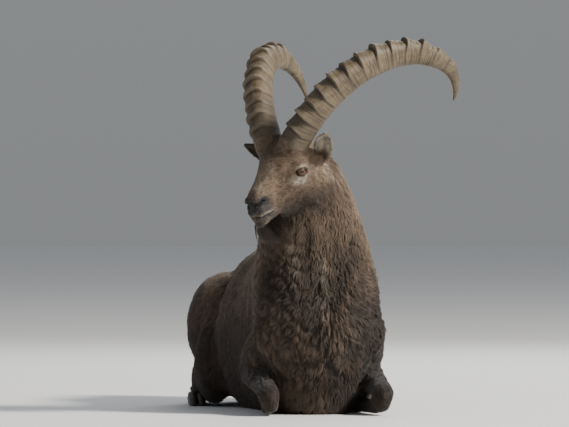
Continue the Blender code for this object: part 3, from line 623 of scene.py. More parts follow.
def smoothed_creases(places, zone, rounds, sharpest=0.30):
    """Smooths the sharp inner corners of the skin within a zone, and a little way round them."""
    turned = normals_of(skin.data)
    bend = np.linalg.norm(turned[edges[:, 0]] - turned[edges[:, 1]], axis=1)
    sharp = np.zeros(len(places))
    np.maximum.at(sharp, edges[:, 0], bend)
    np.maximum.at(sharp, edges[:, 1], bend)
    sharp = np.clip(blurred((sharp > sharpest) * zone, edges, 14) * 8, 0, 1)[:, None]
    for _ in range(rounds):
        places = places + (blurred(places, edges, 10) - places) * sharp
    return places


points = points_of(skin.data)
edges = edges_of(skin.data)
local = head_frame(points)
print("head reaches", round(float(-local[:, 1].min()), 3), "m ahead of its middle")

# %% Smooth the seam
SEAM_MIDDLE = np.array([0, 0.085, -0.045])
SEAM_REACH = (0.075, 0.12)
SEAM_BACK = (0.005, 0.035)
FACE_AHEAD = (0.112, 0.085)
FACE_ROUNDS, FACE_SHARE = 55, 0.92

seam = 1 - blend_step(*SEAM_REACH, np.linalg.norm(local - SEAM_MIDDLE, axis=1))
seam = seam * blend_step(*SEAM_BACK, local[:, 1])
face_zone = blend_step(*FACE_AHEAD, -local[:, 1]) * (-local[:, 1] > -0.10) * (local[:, 2] < 0.075)
face_zone = face_zone * (np.abs(local[:, 0]) < 0.10) * (local[:, 2] > -0.14)
soft = blurred(points, edges, FACE_ROUNDS)
points = points + (soft - points) * (FACE_SHARE * blurred(face_zone, edges, 10))[:, None]
seam_zone = (np.linalg.norm(local, axis=1) < 0.24) & (local[:, 1] > -0.03) & (local[:, 2] < 0.05)
points = smoothed_creases(points, seam_zone, 6)
points = points + (blurred(points, edges, 12) - points) * (0.5 * seam)[:, None]
set_points(skin.data, points)
print("seam smoothed over", int((seam > 0.5).sum()), "points")

# %% Draw the skin in
LEAST_HEIGHT = 0.0008
LEG_PARTS = ("shank", "forearm", "cannon")

labels = sample_labels[nearest(sample_tree, points)]
depth = np.array([COAT[part][0] for part in PARTS])[labels]
muzzle, pad, around_eye = head_detail(points)
depth = depth * (1 - 0.75 * muzzle) * (1 - 0.8 * around_eye)
depth = blurred(depth, edges, 12)
points = points - unit_rows(blurred(normals_of(skin.data), edges, 3)) * depth[:, None]
set_points(skin.data, points)
points = smoothed_creases(points, seam_zone, 4)
on_legs = np.isin(PARTS, LEG_PARTS)[labels].astype(float)
points = points + (blurred(points, edges, 5) - points) * blurred(on_legs, edges, 3)[:, None]
points[:, 2] = np.maximum(points[:, 2], LEAST_HEIGHT)
set_points(skin.data, points)
print("skin drawn in by", round(depth.min() * 1000, 1), "to", round(depth.max() * 1000, 1), "mm")

# %% [markdown]
# ## Eye openings, nostrils and mouth
# These are cut into the skin with Booleans: a ball and an almond for each eye, a bent comma for each
# nostril and a thin groove for the mouth. Cutting keeps sharp edges where a remesh would round them.

# %% Cut the face
MOUTH = ((0.034, 0.099, -0.0700), (0.031, 0.109, -0.0738), (0.028, 0.121, -0.0756),
         (0.023, 0.135, -0.0758), (0.012, 0.147, -0.0750))
NOSTRIL = ((0.0055, 0.149, -0.051, 0.0028), (0.0100, 0.146, -0.045, 0.0056),
           (0.0160, 0.139, -0.040, 0.0064), (0.0205, 0.130, -0.0375, 0.0046), (0.0235, 0.121, -0.038, 0.0020))
MOUTH_CORNER = 0.033


def outward(obj):
    """Turns the faces of a closed shape so that they look out."""
    shape = bmesh.new()
    shape.from_mesh(obj.data)
    volume = shape.calc_volume(signed=True)
    shape.free()
    if volume < 0:
        obj.data.flip_normals()
    return obj


def skin_tree():
    shape = bmesh.new()
    shape.from_mesh(skin.data)
    tree = BVHTree.FromBMesh(shape)
    shape.free()
    return tree


def on_skin(tree, local_point, sink):
    """The place on the skin nearest to a point of the head's frame, moved in by sink."""
    place, normal, _, _ = tree.find_nearest(head_place @ Vector(local_point))
    return place - normal * sink


def eye_axes(side):
    """Along the eye to its front corner, down the eye and the way it looks, in the head's frame."""
    look = mirrored(EYE_LOOK, side)
    across = Vector((0, -1, -math.tan(EYE_SLANT)))
    across = (across - look * across.dot(look)).normalized()
    return Matrix((across, look.cross(across) * side, look)).transposed()


def cut_face():
    tree = skin_tree()
    head_across = (head_place.to_3x3() @ Vector((1, 0, 0))).normalized()
    for _, side in SIDES:
        centre = mirrored(EYE_CENTRE, side)
        axes = eye_axes(side)
        ball = ellipsoid("socket", centre, (EYE_RADIUS + 0.0004,) * 3, segments=48, rings=32)
        almond = ellipsoid("opening", centre + axes.col[2] * EYE_RADIUS,
                           (EYE_OPENING[0], EYE_OPENING[1], 0.014), axes, segments=48, rings=16)
        for cutter in (ball, almond):
            cutter.data.transform(head_place)
        boolean(ball, outward(almond), "UNION")
        boolean(skin, ball, "DIFFERENCE")
        nostril = limb("nostril", [
            (*on_skin(tree, (side * x, -ahead, z), 0.0018), wide, wide) for x, ahead, z, wide in NOSTRIL
        ], sides=14, steps=4, lateral=head_across)
        boolean(skin, nostril, "DIFFERENCE")
    line = [(-x, y, z) for x, y, z in MOUTH] + [(0, 0.152, -0.0745)] + list(MOUTH[::-1])
    groove = []
    for x, ahead, z in line:
        size = (0.0013, 0.0019) if abs(x) < MOUTH_CORNER else (0.0006, 0.0008)
        groove.append((*on_skin(tree, (x, -ahead, z), 0.0004), *size))
    boolean(skin, limb("mouth", groove, sides=12, lateral=Vector((0, 0, 1))), "DIFFERENCE")


cut_face()
print("skin with openings", len(skin.data.polygons), "faces")

# %% [markdown]
# ## Ears
# An ear is a leaf that curls round its own middle. A grid bent across its width and thickened gives the
# cup, and its foot runs down into the head. The left one points up and forward. The right one points
# sideways, and its tip curls up.

# %% Ear leaves
EAR_LENGTH = 0.120
EAR_WIDTH = 0.042
EAR_ROOT = Vector((0.065, 0.084, 0.006))
EAR_POINTS = {"left": Vector((0.66, -0.34, 0.67)), "right": Vector((-0.90, -0.38, 0.10))}
EAR_CURL = {"left": Vector((0, 0, 0)), "right": Vector((0, 0, 0.034))}
EAR_ROWS, EAR_COLUMNS = 30, 19
EAR_THICKNESS = 0.0036
EAR_SINK = 0.016


def ear_axes(name, side):
    up = EAR_POINTS[name].normalized()
    opening = Vector((0.35 * side, -0.90, 0.0))
    face = (opening - up * opening.dot(up)).normalized()
    return up.cross(face), face, up


def ear(name, side):
    root = mirrored(EAR_ROOT, side)
    across, face, up = ear_axes(name, side)
    columns = EAR_COLUMNS
    points = []
    for i in range(EAR_ROWS):
        t = i / (EAR_ROWS - 1)
        half = max(0.5 * EAR_WIDTH * (0.42 + 2.6 * t - 2.0 * t * t - 0.92 * t ** 4), 0.0022)
        cup = 0.92 - 0.42 * t
        radius = half / max(math.sin(cup * math.pi / 2), 0.2)
        middle = root + up * (EAR_LENGTH * t - EAR_SINK) + EAR_CURL[name] * t ** 3
        for j in range(columns):
            bend = (2 * j / (columns - 1) - 1) * cup * math.pi / 2
            points.append(head_place @ (middle + across * (radius * math.sin(bend))
                          + face * (radius * (1 - math.cos(bend)) - 0.010 * math.sin(math.pi * t))))
    faces = [(i * columns + j, i * columns + j + 1, (i + 1) * columns + j + 1, (i + 1) * columns + j)
             for i in range(EAR_ROWS - 1) for j in range(columns - 1)]
    obj = mesh_object(f"ear_{name}_leaf", points, faces)
    shell = obj.modifiers.new("shell", "SOLIDIFY")
    shell.thickness = EAR_THICKNESS
    shell.offset = 0.0
    return outward(apply_modifiers(obj))


ears = [ear(name, side) for name, side in SIDES]
flesh = joined("ibex_skin", [skin] + ears)
flesh.data.update()
print("flesh", len(flesh.data.polygons), "faces with ears")

# %% [markdown]
# ## The numbers every hair needs
# Each point of the skin gets the length, width and lift of the hair there, the way it lies and how closely
# it grows. These are blurred along the skin, as they change slowly on the animal. The eye, mouth and
# nostrils are measured too, because no hair grows on them.

# %% Lie and size of the hair
points = points_of(flesh.data)
edges = edges_of(flesh.data)
normals = normals_of(flesh.data)
labels = sample_labels[nearest(sample_tree, points)]
names = np.array(FLESH)[labels]
local = head_frame(points)
ahead, across, up = -local[:, 1], np.abs(local[:, 0]), local[:, 2]
muzzle, pad, around_eye = head_detail(points)
to_body = head_place.to_3x3()


def lie_of(node):
    """The way that the hair lies on a node, before it is turned along the skin."""
    for word in LIE:
        if word in node:
            return LIE[word]
    if "ear" in node:
        return (to_body @ EAR_POINTS[node.removeprefix("ear_")]).normalized()
    return to_body @ Vector((0, 1.0, -0.25)).normalized()


lie = blurred(np.array([lie_of(node) for node in FLESH])[labels], edges, 14)
table = np.array([COAT[part] for part in PARTS])[labels]
length = table[:, 1] * (1 - 0.68 * muzzle) * (1 - 0.55 * around_eye)
spacing, width, lift = table[:, 2], table[:, 3] * (1 - 0.35 * muzzle), table[:, 4]
length, spacing, width, lift = (blurred(v, edges, 8) for v in (length, spacing, width, lift))
print("hair from", round(length.min() * 1000, 1), "to", round(length.max() * 1000, 1), "mm")

# %% Bare places
TEAR_LINE = [(0.016, -0.001, 0.010), (0.021, -0.0035, 0.008), (0.028, -0.006, 0.004)]
EYE_REACH = 0.05
FLOOR_TOUCH = 0.012
BARE_MOUTH, BARE_NOSTRIL, BARE_LID, BARE_TEAR = 0.0026, 0.0085, 1.16, 0.0016


def line_distance(places, line):
    """Distance of each place (across, back, up) to a bent line of such points."""
    best = np.full(len(places), 1.0)
    for start, end in zip(line[:-1], line[1:]):
        start, way = np.array(start), np.array(end) - np.array(start)
        t = np.clip((places - start) @ way / (way @ way), 0, 1)
        best = np.minimum(best, np.linalg.norm(places - start - t[:, None] * way, axis=1))
    return best


folded = np.column_stack((across, local[:, 1], up))
mouth_line = [(0.0, -0.152, -0.0745)] + [(x, -y, z) for x, y, z in MOUTH[::-1]]
from_mouth = line_distance(folded, mouth_line)
from_nostril = line_distance(folded, [(x, -y, z) for x, y, z, _ in NOSTRIL])
from_eye = np.linalg.norm(folded - np.array(EYE_CENTRE), axis=1)
# Ahead, up and out from the middle of the eye. The eye's own second axis points down, so it is turned.
on_eye = (folded - np.array(EYE_CENTRE)) @ np.array(eye_axes(1)) * np.array([1, -1, 1])
ahead_of_eye, over_eye = on_eye[:, 0], on_eye[:, 1]
near_eye = (on_eye[:, 2] > 0.0) & (np.abs(on_eye[:, :2]) < EYE_REACH).all(axis=1)
in_opening = np.hypot(ahead_of_eye / EYE_OPENING[0], over_eye / EYE_OPENING[1])
from_tear = line_distance(on_eye, TEAR_LINE)

on_floor = (points[:, 2] < FLOOR_TOUCH) & (normals[:, 2] < -0.3)
in_socket = from_eye < EYE_RADIUS + 0.0012
bare = (pad > 0.5) | on_floor | in_socket | (from_mouth < BARE_MOUTH) | (from_nostril < BARE_NOSTRIL)
bare |= near_eye & ((in_opening < BARE_LID) | (from_tear < BARE_TEAR))
print("fields for", len(points), "points,", int(bare.sum()), "of them bare")

# %% [markdown]
# ## Markings
# The winter coat is grey-brown. It is darker on the legs and tail and along the back, and paler round the
# eyes, on the upper lip, the bridge of the nose, the rump and inside the left ear. The chest, the throat and
# the flanks are darker partly as the coat's own colour and partly as painted shade, and the lower jaw and the
# left side of the chest are darkened with painted shade. The right ear lies in its own shade and is painted
# dark as shade. Bare skin is nearly black: the nose, the mouth and the edges of the lids. Marks could be
# painted by hand, but then both sides would differ. Here each one is a number from 0 to 1 on every point of
# the skin. The skin and the tufts read the same marks, so that nothing changes colour where a tuft is
# missing.

# %% Dark marks on the body, some of them painted shade
# Each pair fades a mark in: 0 at the first number and 1 at the second, in metres.
# The chest, the throat and the flanks darken partly as the coat's own colour and partly as painted shade.
CHEST_HEIGHT, CHEST_BACK = (0.47, 0.27), (0.12, -0.12)
# Painted shade: the left side of the chest is darkened further, as a mark and in the tone.
LEFT_CHEST_SHADE = (0.02, 0.13)
FLANK_HEIGHT, FLANK_BACK = (0.40, 0.16), (-0.10, 0.05)
BACK_LINE = (0.040, 0.012)
THROAT_UP, THROAT_AHEAD = (-0.03, -0.10), (-0.16, -0.06)
FOREHEAD_ACROSS, FOREHEAD_AHEAD = (0.050, 0.026), (0.085, 0.04)
# Painted shade under the jaw: the lower, back part of the face is darkened.
JAW_SHADE_UP, JAW_SHADE_AHEAD = (-0.030, -0.075), (0.105, 0.060)
# Painted shade: all of the darkness of the jaw and of the left side of the chest, and part of that of the
# chest, the throat and the flanks.
DARKNESS = {"legs": 0.85, "chest": 0.68, "left chest shade": 0.32, "throat": 0.55, "flank": 0.90,
            "back line": 0.60, "forehead": 0.27, "jaw": 0.42, "tail": 0.80}

on_head = names == "head"
is_tail = names == "tail"
chest = blend_step(*CHEST_HEIGHT, points[:, 2]) * blend_step(*CHEST_BACK, points[:, 1])
left_chest_shade = blend_step(*LEFT_CHEST_SHADE, points[:, 0]) * chest
dark_zones = {
    "legs": np.isin(PARTS, LEG_PARTS)[labels],
    "chest": chest,
    "left chest shade": left_chest_shade,
    "throat": (blend_step(*THROAT_UP, up) * blend_step(*THROAT_AHEAD, ahead)
               * (across < 0.09) * (np.abs(ahead) < 0.12)),
    "flank": blend_step(*FLANK_HEIGHT, points[:, 2]) * blend_step(*FLANK_BACK, points[:, 1]),
    "back line": blend_step(*BACK_LINE, np.abs(points[:, 0])) * (normals[:, 2] > 0.4) * (points[:, 1] > 0),
    "forehead": (blend_step(*FOREHEAD_ACROSS, across) * blend_step(*FOREHEAD_AHEAD, ahead)
                 * (up > -0.005) * (ahead > -0.06)),
    "jaw": blend_step(*JAW_SHADE_UP, up) * blend_step(*JAW_SHADE_AHEAD, ahead) * on_head,
    "tail": is_tail,
}
dark = np.clip(sum(DARKNESS[name] * zone for name, zone in dark_zones.items()), 0, 1)
print("dark marks, mean", round(float(dark.mean()), 3))

# %% Pale marks on face, rump and throat
# Two light partings run down the throat, which faces a little to the animal's right. They are drawn as
# lines over its front: (across, 0, height).
PARTINGS = ([(-0.051, 0, 0.456), (-0.040, 0, 0.40), (-0.030, 0, 0.346)],
            [(0.020, 0, 0.420), (0.036, 0, 0.345), (0.036, 0, 0.295), (0.026, 0, 0.254)])
PARTING_EDGE = (0.0070, 0.0020)
PARTING_WAVE = 0.004
THROAT_TURN = math.radians(9.0)
LIP_LINE, LIP_UP, LIP_AHEAD = (0.0080, 0.0045), (-0.0775, -0.0745), (0.098, 0.112)
CHIN_UP, CHIN_AHEAD = (-0.078, -0.084), (0.090, 0.115)
BRIDGE_ACROSS, BRIDGE_FROM, BRIDGE_TO = (0.032, 0.014), (0.035, 0.07), (0.150, 0.125)
RUMP_BACK, RUMP_ACROSS = (0.72, 0.80), (0.11, 0.05)
ARCH_ABOVE_EYE, ARCH_BEHIND, ARCH_BEND = 0.0150, 0.002, 15.0
UNDER_LID = (0.002, -0.0205), (0.023, 0.0110)
TEAR_PATCH = (0.028, -0.018), (0.014, 0.012)
BEHIND_JAW = (0.092, -0.035), (0.016, 0.030)
PALENESS = {"over lid": 0.50, "under lid": 0.72, "tear patch": 0.35, "lip": 0.60, "chin": 0.05,
            "bridge": 0.16, "ear inside": 1.00, "behind jaw": 0.30, "rump": 0.60, "parting": 0.34}


def blob(u, v, centre, radii):
    """1 inside an ellipse of the plane, falling to 0 at 1.4 of its size."""
    return blend_step(1.4, 0.7, np.hypot((u - centre[0]) / radii[0], (v - centre[1]) / radii[1]))


def throat_parting():
    """The two partings, as wavy lines over the front of the throat."""
    over_front = points[:, 0] * math.cos(THROAT_TURN) - points[:, 1] * math.sin(THROAT_TURN)
    over_front = over_front + PARTING_WAVE * np.sin(90 * points[:, 2])
    on_front = np.column_stack((over_front, np.zeros(len(points)), points[:, 2]))
    drawn = [blend_step(*PARTING_EDGE, line_distance(on_front, line)) for line in PARTINGS]
    return np.max(drawn, axis=0) * (points[:, 1] < -0.12) * ~on_head


def over_lid():
    """A thin pale arch above the eye."""
    from_top = ahead_of_eye + ARCH_BEHIND
    from_arch = np.abs(over_eye - ARCH_ABOVE_EYE + ARCH_BEND * from_top ** 2)
    arch = blend_step(0.0040, 0.0010, from_arch) * blend_step(0.027, 0.018, np.abs(from_top))
    return arch * blend_step(0.002, 0.009, on_eye[:, 2])


lip = blend_step(*LIP_LINE, from_mouth) * blend_step(*LIP_UP, up) * blend_step(*LIP_AHEAD, ahead)
chin = blend_step(*CHIN_UP, up) * blend_step(*CHIN_AHEAD, ahead) * (across < 0.05) * (up > -0.13)
pale_zones = {
    "over lid": over_lid() * near_eye,
    "under lid": blob(ahead_of_eye, over_eye, *UNDER_LID) * near_eye,
    "tear patch": blob(ahead_of_eye, over_eye, *TEAR_PATCH) * near_eye,
    "lip": lip,
    "chin": chin,
    "bridge": (blend_step(*BRIDGE_ACROSS, across) * blend_step(*BRIDGE_FROM, ahead)
               * blend_step(*BRIDGE_TO, ahead) * (up > -0.04)),
    "behind jaw": blob(local[:, 1], up, *BEHIND_JAW) * (across > 0.04) * (across < 0.12),
    "rump": (blend_step(*RUMP_BACK, points[:, 1]) * blend_step(*RUMP_ACROSS, np.abs(points[:, 0]))
             * (points[:, 2] < 0.36) * ~is_tail),
    "parting": throat_parting(),
}
print("pale marks of", len(pale_zones), "kinds")

# %% Marks in the ears
STREAK_EDGE, STREAK_END = (0.0075, 0.0025), (0.10, 0.07)
CUP_FROM = (0.005, 0.025)
# The right ear keeps almost none of the cup's paleness and is darkened all over: painted shade, as it lies in
# the shade of the head.
CUP_PALENESS = {"left": 1.0, "right": 0.06}

ear_inside = np.zeros(len(points))
# Painted shade: the whole right ear is darkened.
ear_dark = 0.9 * (names == "ear_right")
for name, side in SIDES:
    ear_way = np.array(to_body) @ np.array(ear_axes(name, side)).T
    on_ear = (points - np.array(head_place @ mirrored(EAR_ROOT, side))) @ ear_way
    inside = (normals @ ear_way[:, 1] > 0.1) * (names == f"ear_{name}")
    inside = inside * blend_step(*CUP_FROM, on_ear[:, 2])
    streak = inside * blend_step(*STREAK_EDGE, np.abs(on_ear[:, 0] + 0.001))
    streak = streak * blend_step(*STREAK_END, on_ear[:, 2])
    ear_inside += (1 - 0.70 * streak) * inside * CUP_PALENESS[name]
    ear_dark = np.maximum(ear_dark, 0.75 * streak)
pale_zones["ear inside"] = ear_inside
print("pale inside the ears on", int((ear_inside > 0.5).sum()), "points")

# %% All marks together
GREY_AHEAD, GREY_UP = (0.090, 0.115), (-0.020, -0.036)
CHIN_GREY = 0.55
BLACK_MOUTH, BLACK_NOSTRIL = (0.0042, 0.0018), (0.0125, 0.0080)
BLACK_LID, BLACK_TEAR = (1.30, 1.12), (0.0030, 0.0012)

pale = np.clip(sum(PALENESS[name] * zone for name, zone in pale_zones.items()), 0, 1)
dark = np.maximum(dark * (1 - pale), ear_dark)
grey = muzzle * blend_step(*GREY_AHEAD, ahead) * blend_step(*GREY_UP, up) * (1 - lip) * (1 - chin)
grey = np.clip(grey + CHIN_GREY * chin * (1 - lip), 0, 1)
black = pad + blend_step(*BLACK_MOUTH, from_mouth) + blend_step(*BLACK_NOSTRIL, from_nostril)
lid_edge = np.maximum(blend_step(*BLACK_LID, in_opening), blend_step(*BLACK_TEAR, from_tear))
black = blurred(np.clip(black + near_eye * lid_edge, 0, 1), edges, 1)
marks = blurred(np.column_stack((dark, pale, grey)), edges, 3)
print("mean marks", [round(float(v), 3) for v in marks.mean(axis=0)])

# %% [markdown]
# ## Light and dark within the coat
# Hair is never of one tone. Streaks run down the coat, the head is speckled, and the long hair of the chest
# stands in wavy ridges with furrows between them, which are darkened with painted shade. The ridges come from
# a wave whose phase is bent by noise, and the same wave later lifts the tufts.

# %% Noise and ridges
HASH_PRIMES = (73856093, 19349663, 83492791)
SEED_PRIME = 2654435761
HASH_TURN, HASH_ADD, HASH_SIZE = 48271, 11, 65521
RIDGES_ACROSS, RIDGES_UP = 45, 27
RIDGE_POWER = 0.7
RIDGES_FROM_ABOVE, RIDGES_FROM_BELOW = (0.50, 0.38), (0.05, 0.12)
RIDGES_FROM_BACK, RIDGES_FROM_SIDE = (0.03, -0.10), (0.24, 0.17)


def lattice(cells, seed):
    """A random number from 0 to 1 for each whole-numbered cell."""
    mixed_up = seed * SEED_PRIME
    for axis, prime in enumerate(HASH_PRIMES):
        mixed_up = mixed_up ^ (cells[:, axis] * prime)
    return ((mixed_up * HASH_TURN + HASH_ADD) % HASH_SIZE) / HASH_SIZE


def value_noise(places, seed):
    """Soft random waves, from 0 to 1, one to two units apart."""
    low = np.floor(places).astype(np.int64)
    t = places - low
    t = t * t * (3 - 2 * t)
    total = np.zeros(len(places))
    for corner in range(8):
        step = np.array([corner & 1, corner >> 1 & 1, corner >> 2 & 1])
        share = np.prod(np.where(step, t, 1 - t), axis=1)
        total += share * lattice(low + step, seed)
    return total


def crimp(places):
    """Height of the chest's wavy ridges, from 0 in a furrow to 1 on a ridge, and how strong they are."""
    side_way = np.tanh((places[:, 0] - 0.015) / 0.05)
    bend = 1.4 * value_noise(places * 21.0, 4) + 0.6 * value_noise(places * 55.0, 5)
    phase = RIDGES_ACROSS * places[:, 0] - RIDGES_UP * places[:, 2] * side_way + bend
    ridge = (0.5 + 0.5 * np.cos(2 * np.pi * phase)) ** RIDGE_POWER
    zone = blend_step(*RIDGES_FROM_ABOVE, places[:, 2]) * blend_step(*RIDGES_FROM_BACK, places[:, 1])
    zone = zone * blend_step(*RIDGES_FROM_SIDE, np.abs(places[:, 0]))
    zone = zone * blend_step(*RIDGES_FROM_BELOW, places[:, 2])
    return ridge, zone * (0.55 + 0.45 * value_noise(places * 14.0, 6))


ridge_height, ridge_zone = crimp(points)
furrow = (1 - ridge_height) * ridge_zone
print("ridges over", int((ridge_zone > 0.5).sum()), "points")

# %% Tone of the coat
STREAKS, FINE_STREAKS = np.array([75.0, 60.0, 13.0]), np.array([190.0, 150.0, 34.0])
PATCHES = np.array([16.0, 14.0, 12.0])
SHORT_COAT_HEIGHT = (0.36, 0.46)
STREAK_TONE, PATCH_TONE, SPECKLE_TONE = 0.60, 0.30, 0.95
# The furrow number and the left-chest number darken the tone: painted shade in the furrows between the
# chest's ridges and on the left side of the chest.
RIDGE_TONE, FURROW_SHADE, LEFT_CHEST_SHADE_TONE = 0.10, 1.20, 0.22

streak_field = value_noise(points * STREAKS + 3, 1) + 0.6 * value_noise(points * FINE_STREAKS, 2)
patch_field = value_noise(points * PATCHES, 3)
speckle = value_noise(points * 190.0, 7) + value_noise(points * 330.0, 8) - 1.0
short_coat = blurred(on_head.astype(float), edges, 6) + 0.6 * blend_step(*SHORT_COAT_HEIGHT, points[:, 2])
tone_field = 0.5 + STREAK_TONE * (streak_field / 0.8 - 1.0) + PATCH_TONE * (patch_field - 0.5)
# Painted shade in the furrows between the ridges.
tone_field = tone_field + RIDGE_TONE * ridge_zone - FURROW_SHADE * furrow
# The left-chest term darkens the left side of the chest: painted shade.
tone_field = tone_field + SPECKLE_TONE * np.clip(short_coat, 0, 1) * speckle - LEFT_CHEST_SHADE_TONE * left_chest_shade
tone_field = np.clip(tone_field, 0, 1)
for name, values in (("marks", marks), ("along", np.full(len(points), 0.35)),
                     ("tuft", tone_field), ("bareness", black)):
    spread_over(flesh.data, name, values)
print("mean tone", round(float(tone_field.mean()), 2))

# %% [markdown]
# ## An unwrap of the skin
# The skin gets a flat layout, so that its colours can be drawn into a flat picture. Each tuft borrows a
# tiny square of it, at the place where its root stands.

# %% Unwrap
def unwrap(obj, angle):
    bpy.ops.object.select_all(action="DESELECT")
    bpy.context.view_layer.objects.active = obj
    obj.select_set(True)
    if not obj.data.uv_layers:
        obj.data.uv_layers.new(name="OFBake")
    bpy.ops.object.mode_set(mode="EDIT")
    bpy.ops.mesh.select_all(action="SELECT")
    bpy.ops.uv.smart_project(angle_limit=math.radians(angle), island_margin=0.001)
    bpy.ops.object.mode_set(mode="OBJECT")
    obj.data.uv_layers[0].name = "OFBake"


def finished(obj, angle=66):
    """The object with smooth shading and an unwrap."""
    obj.data.shade_smooth()
    unwrap(obj, angle)
    return obj


finished(flesh)
triangles = triangles_of(flesh.data)
loops = read(flesh.data.loop_triangles, "loops", 3, np.int32)
corner_uv = read(flesh.data.uv_layers["OFBake"].data, "uv", 2)[loops]
print("unwrapped", len(triangles), "triangles")

# %% [markdown]
# ## Growing the coat
# Real hair could be grown with a hair system, but the shared library keeps plain meshes. Each tuft is a
# thin folded blade of six triangles. Its root stands in the skin, it lifts a little and then lies down
# along the flow. Tufts near each other lean together into clumps, which gives the furrows of a long coat.

# %% Roots
TUFTS = 236000

draw = np.random.default_rng(21)
area = areas_of(points[triangles])
weight = area / (spacing[triangles].mean(axis=1) ** 2) * (~bare[triangles].any(axis=1))
wanted = weight.sum()
total = min(TUFTS, int(wanted))
pick = np.sort(draw.choice(len(area), total, p=weight / wanted))
share = corner_shares(draw, total)


def at_roots(values):
    """Numbers of the skin's points, read at each root."""
    return np.einsum("ij,ij...->i...", share, values[triangles[pick]])


roots = at_roots(points)
root_normal = unit_rows(at_roots(normals))
root_uv = np.einsum("ij,ijk->ik", share, corner_uv[pick])
print("skin would take", int(wanted), "tufts, grown", total)

# %% Clumps
CLUMPS = 11000
LONG_FROM, LONG_OVER = 0.013, 0.012
CHEST_CLUMPS = (0.50, 0.38)

seeds = roots[draw.choice(total, CLUMPS, replace=False)]
clump = nearest(tree_of(seeds), roots)
clump_turn = draw.normal(0, 1, CLUMPS)
clump_size = draw.uniform(0, 1, CLUMPS)
long_coat = np.clip((at_roots(length) - LONG_FROM) / LONG_OVER, 0, 1)
in_clump = long_coat * (0.45 + 0.55 * blend_step(*CHEST_CLUMPS, roots[:, 2]))
in_furrow = at_roots(furrow)
print(CLUMPS, "clumps of about", total // CLUMPS, "tufts")

# %% How each tuft lies
SHORT_TURN, LONG_TURN, WAVE_TURN, HAIR_TURN = 0.10, 0.10, 0.20, 0.13
SHORTER_IN_FURROW, SHORTER_ON_RIDGES, FLATTER_IN_FURROW = 0.40, 0.25, 0.45
HAIR_SIZE = (-0.14, 0.20)
LIFT_SPREAD, TIP_DROP, TIP_SPREAD = 4.5, -6, 5
CLUMP_REACH, CLUMP_PULL, MIDDLE_PULL = 0.005, 0.40, 0.35
TUFT_WIDTH = (0.75, 1.2)
MIDDLE_HEIGHT_LEAST, TIP_HEIGHT_LEAST = 0.0010, 0.0012


def lifted(angles):
    """The way of each tuft, raised from the skin by an angle."""
    return flow * np.cos(angles)[:, None] + root_normal * np.sin(angles)[:, None]


flow = at_roots(lie)
flow = unit_rows(flow - root_normal * row_dots(flow, root_normal))
sideways = np.cross(root_normal, flow)
sway = 2.2 * np.sin(roots[:, 2] * 23)
wave = np.sin(roots[:, 0] * 95 + sway) * np.cos(roots[:, 2] * 31 + roots[:, 1] * 40)
turn = (SHORT_TURN + LONG_TURN * long_coat) * clump_turn[clump] + WAVE_TURN * long_coat * wave
turn = turn + draw.normal(0, HAIR_TURN, total)
flow = unit_rows(flow * np.cos(turn)[:, None] + sideways * np.sin(turn)[:, None])
sideways = np.cross(root_normal, flow)

size = at_roots(length) * (0.86 + 0.20 * clump_size[clump] * long_coat + draw.uniform(*HAIR_SIZE, total))
size = size * (1 - SHORTER_IN_FURROW * in_furrow) * (1 - SHORTER_ON_RIDGES * at_roots(ridge_zone))
rise = at_roots(lift) + draw.normal(0, LIFT_SPREAD, total)
rise = np.radians(rise * (1 - FLATTER_IN_FURROW * in_furrow))
middle = roots + lifted(rise) * (size * 0.5)[:, None]
tip = middle + lifted(np.radians(TIP_DROP + draw.normal(0, TIP_SPREAD, total))) * (size * 0.5)[:, None]

gather = seeds[clump] + flow * size[:, None]
gather = gather - root_normal * row_dots(gather - tip, root_normal)
pull = np.clip(gather - tip, -CLUMP_REACH, CLUMP_REACH) * (CLUMP_PULL * in_clump)[:, None]
tip = tip + pull
middle = middle + pull * MIDDLE_PULL
middle[:, 2] = np.maximum(middle[:, 2], MIDDLE_HEIGHT_LEAST)
tip[:, 2] = np.maximum(tip[:, 2], TIP_HEIGHT_LEAST)
half = at_roots(width) * draw.uniform(*TUFT_WIDTH, total) / 2
print("longest tuft", round(size.max() * 1000, 1), "mm")

# %% Raise the ridges
RIDGE_RISE = 0.0068
RIDGE_LEVEL = 0.75
LOOK_ASIDE = 0.003
TILT, STEEPEST = 1.6, 1.2

right_of, _ = crimp(roots - sideways * LOOK_ASIDE)
left_of, _ = crimp(roots + sideways * LOOK_ASIDE)
at_root, root_zone = crimp(roots)
at_tip, tip_zone = crimp(tip)
slope = (left_of - right_of) * root_zone * RIDGE_RISE / (2 * LOOK_ASIDE)
root_lift = root_normal * ((at_root - RIDGE_LEVEL) * root_zone * RIDGE_RISE)[:, None]
roots = roots + root_lift
middle = middle + root_lift
tip = tip + root_normal * ((at_tip - RIDGE_LEVEL) * tip_zone * RIDGE_RISE)[:, None]
print("ridges rise", RIDGE_RISE * 1000, "mm")

# %% Blades and their tone
PATCH = 0.003
ROOT_SINK = 0.0004
FOLD = 0.45
BLADE_CORNERS = np.array([0, 1, 4, 3, 1, 2, 5, 4, 3, 4, 6, 4, 5, 6])
BLADE_STARTS = np.array([0, 4, 8, 11])
BLADE_SIZES = np.array([4, 4, 3, 3])
BLADE_ALONG = np.array([0, 0, 0, 0.5, 0.5, 0.5, 1.0])
BLADE_UV = np.array([[-0.5, 0], [0, 0], [0.5, 0], [-0.4, 0.5], [0, 0.5], [0.4, 0.5], [0, 1]]) * PATCH
TONE_SHARE, RIDGE_TONE_SHARE, OWN_SHARE, CLUMP_SHARE = 0.56, 0.26, 0.90, 0.10

